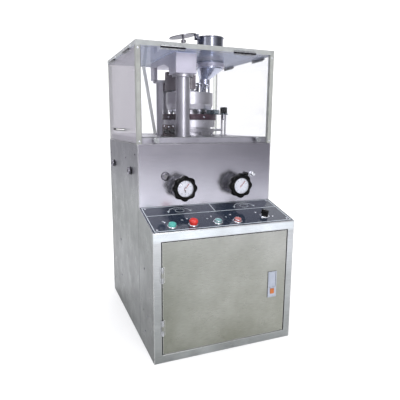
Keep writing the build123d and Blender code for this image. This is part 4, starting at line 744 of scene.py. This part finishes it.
LEVER_X, LEVER_Z, BALL_R, BALL_OUT = 168, 549, 7.5, 26.4
head = rounded([(4.95, 0.4), (8, 0.4), (8, 10.5), (6.4, 12.8), (0, 13)], 1.2)
stem = [(0, -20), (4.95, -20), (4.95, 0.4)]
arm_place = turned(placed(LEVER_X, Y_PANEL - 8, LEVER_Z, (0, 1, 0), (0, 0, 1)), 180, "Y")
arm = [(0, 0), (3.4, 0), (3.4, 8), (2.6, 12), (2.6, 21), (0, 21)]
lever = Shape().lathe(stem + head, on_front(LEVER_X, LEVER_Z), 40).lathe(arm, arm_place, 28)
piece("lever_arm", lever, "chrome", "side_lever")
ball = [(BALL_R * sin(pi * k / 20), BALL_OUT - BALL_R * cos(pi * k / 20)) for k in range(1, 20)]
ball = [(0, BALL_OUT - BALL_R)] + ball + [(0, BALL_OUT + BALL_R)]
ball = Shape().lathe(ball, arm_place, 40)
piece("lever_ball", ball, "black", "side_lever", ["ball_lever"])
flange = [(5.6, 0.05), (11.0, 0.05), (11.0, 1.2), (9.0, 2.0), (5.6, 2.0)]
flange = Shape().ring(flange, 0.3, on_front(LEVER_X, LEVER_Z, Y_PANEL + 1.7), 48, 2)
piece("lever_flange", flange, "chrome")

# -------------------------------- cabinet details

LATCHES, LATCH_Z = {"front": -58.5, "rear": 230.0}, 563
SEAM_Y, SEAM_REAR_Y, SEAM_TOP = -151.6, 311.0, 448
VENT_X, VENT_TOP, VENT_STEP, VENT_ROWS = 78, 520, 15, 9
HINGES_Z, HINGE_HALF = (115.5, 282.5), 23.5
NUT_R, LOCK_X = 11, 164

for key, y in LATCHES.items():
    place = on_left(y, LATCH_Z)
    head = rounded([(5.95, 0.4), (10.5, 0.4), (12.4, 3), (12.4, 9.4), (10.4, 12), (6.2, 12)], 1.2)
    knob = [(0, -14), (5.95, -14), (5.95, 0.4)] + head + [(5.8, 11.6), (5.6, 7.6), (0, 7.6)]
    latch = Shape().lathe(knob, place, 48).slab(-7, 7, -22, 7, -13, -10, 0.6, place)
    piece(f"{key}_latch_knob", latch, "lid", f"{key}_latch", [f"{key}_side_latch"])
    heart = Shape().lathe([(0, 7.5), (5.4, 7.5), (5.4, 10.4), (4.8, 11), (0, 11)], place, 32)
    heart.slab(-1.4, 1.4, -4.6, 4.6, 10.6, 11.8, 0.4, place)
    piece(f"{key}_latch_core", heart, "black", f"{key}_latch")
    plate = Shape().ring([(6.7, 0.05), (14.6, 0.05), (14.6, 0.35), (6.7, 0.35)], 0.1, place, 48, 2)
    piece(f"{key}_latch_plate", plate, "matt_black")

screws = Shape()
for y, z in ((-217, 271), (-248, 124), (-217, 60), (140, 271), (140, 124), (290, 60), (290, 600), (20, 600),
             (-120, 620)):
    screws.screw(on_left(y, z), 4.0, 1.6)
    screws.screw(on_right(y, z), 4.0, 1.6)
for x in (-225, -75, 75, 225):
    for z in (16, 330, 640):
        screws.screw(on_back(x, z), 4.0, 1.6)
piece("body_screws", screws, "lid")

seams = Shape()
for turn, place in ((-1, on_left(0, 0)), (1, on_right(0, 0))):
    seams.slab(turn * SEAM_Y, turn * (SEAM_Y + 1.2), 6, SEAM_TOP, 0.0, 0.12, 0, place)
    seams.slab(turn * SEAM_REAR_Y, turn * (SEAM_REAR_Y + 1.0), 6, 646, 0.0, 0.12, 0, place)
# A small dark disc for a hole in the left side: painted shade.
seams.lathe(rounded([(0, 0.02), (2.2, 0.02), (2.2, 0.16), (0, 0.16)], 0.02), on_left(-197, 126), 24)
for z in (8, 332, 646):
    seams.slab(-228, 228, z, z + 1, 0.0, 0.12, 0, on_back(0, 0))
for x in (227, -228):
    seams.slab(x, x + 1, 9, 646, 0.0, 0.12, 0, on_back(0, 0))
piece("panel_seams", seams, "gap")

# Dark strips under the louvres stand for their shaded openings: painted shade.
vents, mouth_shadows = Shape(), Shape()
outline = rounded([(0, 0.02), (9.5, 0.02), (2.4, 4.4), (0, 4.2)], 1.0, 3, True)
side_on = Matrix(((0, 0, 1, 0), (1, 0, 0, 0), (0, 1, 0, 0), (0, 0, 0, 1)))
for row in range(VENT_ROWS):
    for x in (-VENT_X, VENT_X):
        place = on_back(x, VENT_TOP - row * VENT_STEP)
        vents.prism(outline, -52, 52, place @ side_on)
        mouth_shadows.slab(-50, 50, -2.2, 0.3, 0.02, 0.7, 0, place)
piece("rear_louvres", vents, "cabinet")
piece("louvre_mouth_shadows", mouth_shadows, "gap")


def six_sided(r, angle):
    flat = cos(pi / 6) / cos((angle % (pi / 3)) - pi / 6)
    return r if r < NUT_R else r * flat * 1.06


nut = [(10.2, 4.05), (13.2, 4.05), (13.2, 8.6), (12.0, 9.6), (10.2, 9.6)]
piece("gland_nut", Shape().ring(nut, 0.5, on_back(-150, 80), 72, radius=six_sided), "matt_black")

pin_heads = Shape()
for z in HINGES_Z:
    for end, half_turn in ((-HINGE_HALF, 180), (HINGE_HALF, 0)):
        place = turned(upright(DOOR_PIN_X, DOOR_PIN_Y, z + end), half_turn, "X")
        pin_heads.lathe([(0, 0.02)] + rounded([(3.2, 0.02), (3.2, 1.0), (0, 1.9)], 0.8, 4), place, 24)
piece("door_pin_heads", pin_heads, "chrome")


def door_box(out):
    """The door's outline grown by a distance on each side."""
    return (DOOR_X0 - out, DOOR_X1 + out, DOOR_Z0 - out, DOOR_Z1 + out)


DOOR_FACE = on_front(0, 0, Y_FRONT)
# A dark lining on the door's edges, inside the gap: painted shade.
door_edge_shadow = Shape()
door_edge_shadow.window(door_box(0.4), door_box(0.05), -9.0, -0.9, DOOR_FACE)
piece("door_edge_shadow", door_edge_shadow, "gap", "service_door")
# Dark strips on the frame's face beside the door's left, top and right edges, and a dark lining in the gap:
# painted shadow.
seal_and_gap_shadow = Shape()
left, right, low, high = door_box(DOOR_GAP - 0.3)
for bar in ((left - 1.6, left, low, high + 0.9), (left, right, high, high + 0.9),
            (right, right + 2, low, high + 0.9)):
    seal_and_gap_shadow.slab(*bar, -0.5, 0.25, 0.08, DOOR_FACE, 1)
seal_and_gap_shadow.window(door_box(DOOR_GAP - 0.05), door_box(DOOR_GAP - 0.3), -16.0, -0.5, DOOR_FACE)
piece("door_gap_shadow", seal_and_gap_shadow, "gap")

lock_place = on_front(LOCK_X, 0, Y_FRONT - 2)
lock_rim = Shape()
lock_rim.ribbon([(-15.2, 156.8), (15.2, 156.8), (15.2, 243.7), (-15.2, 243.7)], 1.6, 0.3, lock_place, True)
piece("lock_rim", lock_rim, "lock", "service_door")
lock_skin = Shape()
lock_skin.window((-14.2, 14.2, 158, 190.2), (-7.4, 7.4, 168.2, 185.8), 0.0, 0.35, lock_place)
lock_skin.window((-14.2, 14.2, 190.4, 243), (-12.9, 12.9, 190.6, 241.5), 0.0, 0.35, lock_place)
piece("lock_skin", lock_skin, "lock", "service_door")

# -------------------------------- cover details

LEAVES_Y, LEAF_STUD_Y, LEAF_STUD_Z = (-42, 198), 46, 957
KNOBS_X, KNOBS_Z = (-182, 182), 667
POSTS_X, POST_SCREWS_Z = (-233, 233), (664, 941)

liner = Shape()
liner.window((-223.6, -21.4, 693.4, 700.6), (-221.4, -23.6, 695.4, 698.6), -8.2, 0.5, on_left(0, 0))
piece("left_slot_liner", liner, "matt_black", "left_cover_door")

# Studs on the cover hinge leaves: their white is a painted highlight.
leaf_studs = Shape()
for y in LEAVES_Y:
    for end in (-LEAF_STUD_Y, LEAF_STUD_Y):
        leaf_studs.stud(on_left(y + end, LEAF_STUD_Z), 4.4, 2.4)
        leaf_studs.stud(on_right(y + end, LEAF_STUD_Z), 4.4, 2.4)
piece("cover_studs", leaf_studs, "white")

knob_caps = Shape()
cap = rounded([(5.2, -10.5), (8.45, -9.8), (8.5, -2.6), (6.4, -0.1), (0, 0.0)], 1.6, 4)
for x in KNOBS_X:
    knob_caps.lathe([(0, -10.5), (4.9, -10.5)] + cap, on_front(x, KNOBS_Z, Y_PANEL - 17), 40)
piece("knob_caps", knob_caps, "white", "front_cover_door")

post_screws = Shape()
for x in POSTS_X:
    for z in POST_SCREWS_Z:
        post_screws.screw(on_front(x, z), 3.2, 1.4)
        post_screws.screw(on_back(x, z), 3.2, 1.4)
piece("post_screws", post_screws, "chrome")

sill = Shape()
for y0, y1 in ((-147.8, -140.2), (302.5, 310)):
    sill.slab(-224, 224, y0, y1, DECK_TOP + 0.02, DECK_TOP + 2, 0.4)
piece("deck_seal", sill, "seal_and_gap_shadow")

# -------------------------------- press

BRIDGE_TOP, BRACKET_TOP, CAM_TOP, DRUM_TOP = 947, 944, 887, 830
FEEDER_TOP, COLUMN_FOOT_TOP, RING_TOP = 768.5, 681, 679

bolts = Shape()
for x, y in ((-80, 175), (-40, 175), (-80, -92), (-40, -92)):
    bolts.socket_bolt(upright(x, y, BRIDGE_TOP), 4.6, 2.6)
for y in COLUMNS_Y:
    for k in range(6):
        bolts.socket_bolt(around(COLUMN_X, y, 25.8, 30 + 60 * k, COLUMN_FOOT_TOP), 2.2, 2.0)
for k in range(5):
    bolts.socket_bolt(around(TX, TY, 85, 110 + 35 * k, CAM_TOP), 2.8, 2.6)
for k in range(6):
    bolts.socket_bolt(around(TX, TY, 95.5, 60 * k + 8, RING_TOP), 2.0, 1.8)
for k in range(7):
    bolts.socket_bolt(around(TX, TY, 107.5, -50 + 17.5 * k, FEEDER_TOP), 2.4, 2.2)
for x, y in ((146, 51.5), (166, 64.5)):
    bolts.socket_bolt(upright(x, y, RING_TOP), 2.0, 1.6)
for y in (86, 104):
    bolts.socket_bolt(upright(-8, y, BRACKET_TOP), 3.2, 2.6)
piece("press_bolts", bolts, "chrome")

upper_levels = [(5.6, 747), (5.9, 747.6), (5.9, 760), (9.5, 762), (9.5, 846), (6, 848.5), (6, 854.5),
                (12.5, 857), (12.5, 860.6), (9.5, 862)]
lower_levels = [(9.5, 612), (12.5, 613.4), (12.5, 617), (6, 619.5), (6, 625.5), (9.5, 628), (9.5, 727),
                (5.9, 729), (5.9, 744.6), (5.6, 745)]
die = [(6.1, 752.4), (11.2, 752.4), (11.2, 753.3), (10.6, 753.7), (6.9, 753.7), (6.1, 753.2)]
dies, drum_bolts, upper_punches, lower_punches = Shape(), Shape(), Shape(), Shape()
for k in range(STATIONS):
    station = FIRST_STATION + 360 / STATIONS * k
    angle = radians(station)
    place = around(TX, TY, PITCH_R, station, 0)
    dies.ring(die, 0.25, place, 40, 2)
    side = (TX + 100 * cos(angle), TY + 100 * sin(angle), 743)
    dies.screw(placed(*side, (-sin(angle), cos(angle), 0), (0, 0, 1)), 3.4, 0.9)
    drum_bolts.socket_bolt(around(TX, TY, 60, station + 180 / STATIONS, DRUM_TOP), 3.4, 3.0)
    for punches, levels in ((upper_punches, upper_levels), (lower_punches, lower_levels)):
        punches.lathe([(0, levels[0][1])] + rounded(levels, 0.7) + [(0, levels[-1][1])], place, 36)
piece("die_rings", dies, "chrome", "turret")
piece("drum_bolts", drum_bolts, "turned", "turret")
piece("upper_punch_set", upper_punches, "chrome", "turret", ["upper_punches"])
piece("lower_punch_set", lower_punches, "chrome", "turret", ["lower_punches"])


def knurl(r, angle):
    return r - (0.5 if r > 12.6 and int(angle / (2 * pi) * 96 + 0.5) % 2 else 0.0)


profile = rounded([(5.1, 759.5), (12.4, 759.5), (13.5, 760.6), (13.5, 781.4), (12.2, 783), (0, 783)], 0.5, 2)
knob = Shape().lathe([(0, 759.5)] + profile, upright(*CLAMP), 192, radius=knurl)
piece("clamp_knob_head", knob, "black", "feeder_knob", ["clamp_knob"])
washer = Shape().ring([(5.3, 783.02), (8.0, 783.02), (8.0, 783.8), (5.3, 784.2)], 0.3, upright(*CLAMP), 40, 2)
piece("clamp_knob_washer", washer, "chrome", "feeder_knob")

piece("feeder_cover", Shape().fan(80, 103.5, -56, 34, FEEDER_TOP + 0.05, FEEDER_TOP + 1.7, 40), "white")
piece("feeder_lip", Shape().fan(110.0, 112.6, -57, 44, 758.0, 766.5, 40), "lip")
guides = Shape()
for first in (250.6, 255.2, 259.8):
    guides.fan(80.8, 89.2, first, first + 3.8, 838, 885, 6)
piece("cam_guides", guides, "iron")

SETTING_X0, SETTING_X1, SETTING_Y, PLATE_BACK = -128, -86, -64, -57
setting = Shape()
setting.slab(SETTING_X0, SETTING_X1, SETTING_Y, PLATE_BACK, DECK_TOP + 0.1, DECK_TOP + 41, 1.2)
setting.slab(SETTING_X0, SETTING_X1, PLATE_BACK, PLATE_BACK + 17, DECK_TOP + 0.1, DECK_TOP + 8, 1.2)
piece("setting_plate", setting, "setting")
knobs = Shape()
stem = [(0, 0.02), (4, 0.02), (4, 2.5)]
head = rounded([(4, 2.5), (8.6, 2.5), (9, 6), (8.2, 10), (0, 11.2)], 1.6, 4)
for x in (-118, -97):
    knobs.lathe(stem + head, on_front(x, 694, SETTING_Y), 40)
piece("setting_knobs", knobs, "black")
small = Shape()
for x, z in ((-123, 711), (-92, 711), (-107.5, 708)):
    small.screw(on_front(x, z, SETTING_Y), 2.6, 1.4)
piece("setting_screws", small, "chrome")

beads = Shape()
top_bead = [(51.35, 1036.8), (52.3, 1037.4), (52.5, 1038.9), (52.3, 1040.3), (51.35, 1040.7)]
beads.ring(top_bead, 0.4, upright(*HOPPER), 96)
low_bead = [(49.6, 965.1), (50.9, 965.1), (50.9, 969.0), (49.6, 969.6)]
beads.ring(low_bead, 0.5, upright(*HOPPER), 96)
piece("hopper_beads", beads, "lid")

FINS, FIN_LOW, FIN_STEP = 14, 200, 14.5
fins = Shape()
for k in range(FINS):
    z = FIN_LOW + FIN_STEP * k
    fins.ring([(57, z), (62, z), (62, z + 3), (57, z + 3)], 0.6, upright(*MOTOR), 64, 2)
piece("motor_fins", fins, "motor")

# -------------------------------- studio

WHITE, WHITE_LEVEL = (1, 1, 1, 1), 1.35
scene = bpy.context.scene
scene.view_settings.view_transform = "Standard"
scene.view_settings.look = "None"
scene.world = bpy.data.worlds.new("studio")
sky = Nodes(scene.world, "Generated")
sky_colour = sky.mix(sky.ramp(sky.axes()[2], 0.0, 0.8), (0.50, 0.50, 0.52, 1), (0.78, 0.78, 0.84, 1))
aside = sky.add("ShaderNodeVectorMath", {0: sky.coords, 1: (0.925, -0.38, 0)}, operation="DOT_PRODUCT")
level = sky.ramp(sky.math("ABSOLUTE", aside.outputs["Value"]), 0.72, 0.9, 1.08, 0.3)
studio = sky.add("ShaderNodeBackground", {0: sky_colour, 1: level}).outputs[0]
plain = sky.add("ShaderNodeBackground", {0: WHITE, 1: WHITE_LEVEL}).outputs[0]
seen = sky.add("ShaderNodeLightPath").outputs["Is Camera Ray"]
sky.feed(sky.out.inputs[0], sky.shader(seen, studio, plain))


def softbox(name, place, target, wide, tall, power):
    light = bpy.data.lights.new(name, "AREA")
    light.shape = "RECTANGLE"
    light.size, light.size_y, light.energy = wide, tall, power
    obj = bpy.data.objects.new(name, light)
    obj.location = place
    obj.rotation_euler = (Vector(target) - Vector(place)).to_track_quat("-Z", "Y").to_euler()
    scene.collection.objects.link(obj)


softbox("key", (-0.2, -3.6, 1.9), (0, 0, 0.7), 0.9, 2.6, 48)
softbox("left", (-3.4, -1.2, 2.4), (0, 0, 0.6), 1.2, 2.4, 13)
softbox("top", (0.0, 0.2, 4.2), (0, 0, 0.5), 2.6, 2.6, 60)
softbox("back", (0.8, 3.4, 2.6), (0, 0, 0.7), 2.4, 1.8, 26)

bm = bmesh.new()
bmesh.ops.create_circle(bm, cap_ends=True, radius=40, segments=96)
floor_mesh = bpy.data.meshes.new("floor")
bm.to_mesh(floor_mesh)
bm.free()
floor = bpy.data.objects.new("floor", floor_mesh)
scene.collection.objects.link(floor)
pale = Nodes(bpy.data.materials.new("pale_floor"))
patches = pale.mix(pale.ramp(pale.noise(3.0), 0.3, 0.7), (0.93, 0.93, 0.93, 1), (0.95, 0.95, 0.95, 1))
pale.feed(pale.bsdf.inputs["Base Color"], patches)
pale.feed(pale.bsdf.inputs["Roughness"], 0.8)
pale.feed(pale.bsdf.inputs["Specular IOR Level"], 0.1)
away = pale.add("ShaderNodeVectorMath", {0: pale.coords}, operation="LENGTH").outputs["Value"]
glow = pale.add("ShaderNodeEmission", {"Color": WHITE, "Strength": WHITE_LEVEL}).outputs[0]
seen = pale.add("ShaderNodeLightPath").outputs["Is Camera Ray"]
fade = pale.math("MULTIPLY", pale.ramp(away, 0.3, 0.9, 0.35, 1.0), seen)
pale.feed(pale.out.inputs[0], pale.shader(fade, pale.bsdf.outputs[0], glow))
floor_mesh.materials.append(pale.owner)

# -------------------------------- camera

azimuth, down, roll = radians(22.35), radians(10.56), radians(0.48)
forward = Vector((sin(azimuth) * cos(down), cos(azimuth) * cos(down), -sin(down)))
right = Vector((cos(azimuth), -sin(azimuth), 0))
up = right.cross(forward)
right_rolled = right * cos(roll) + up * sin(roll)
up_rolled = up * cos(roll) - right * sin(roll)
camera = bpy.data.objects.new("camera", bpy.data.cameras.new("camera"))
camera.data.lens = 36.71
camera.data.sensor_width = 36.0
camera.data.clip_end = 200
pose = Matrix((right_rolled, up_rolled, -forward)).transposed().to_4x4()
pose.translation = (-0.5432, -1.4090, 0.7189)
camera.matrix_world = pose
scene.collection.objects.link(camera)
scene.camera = camera
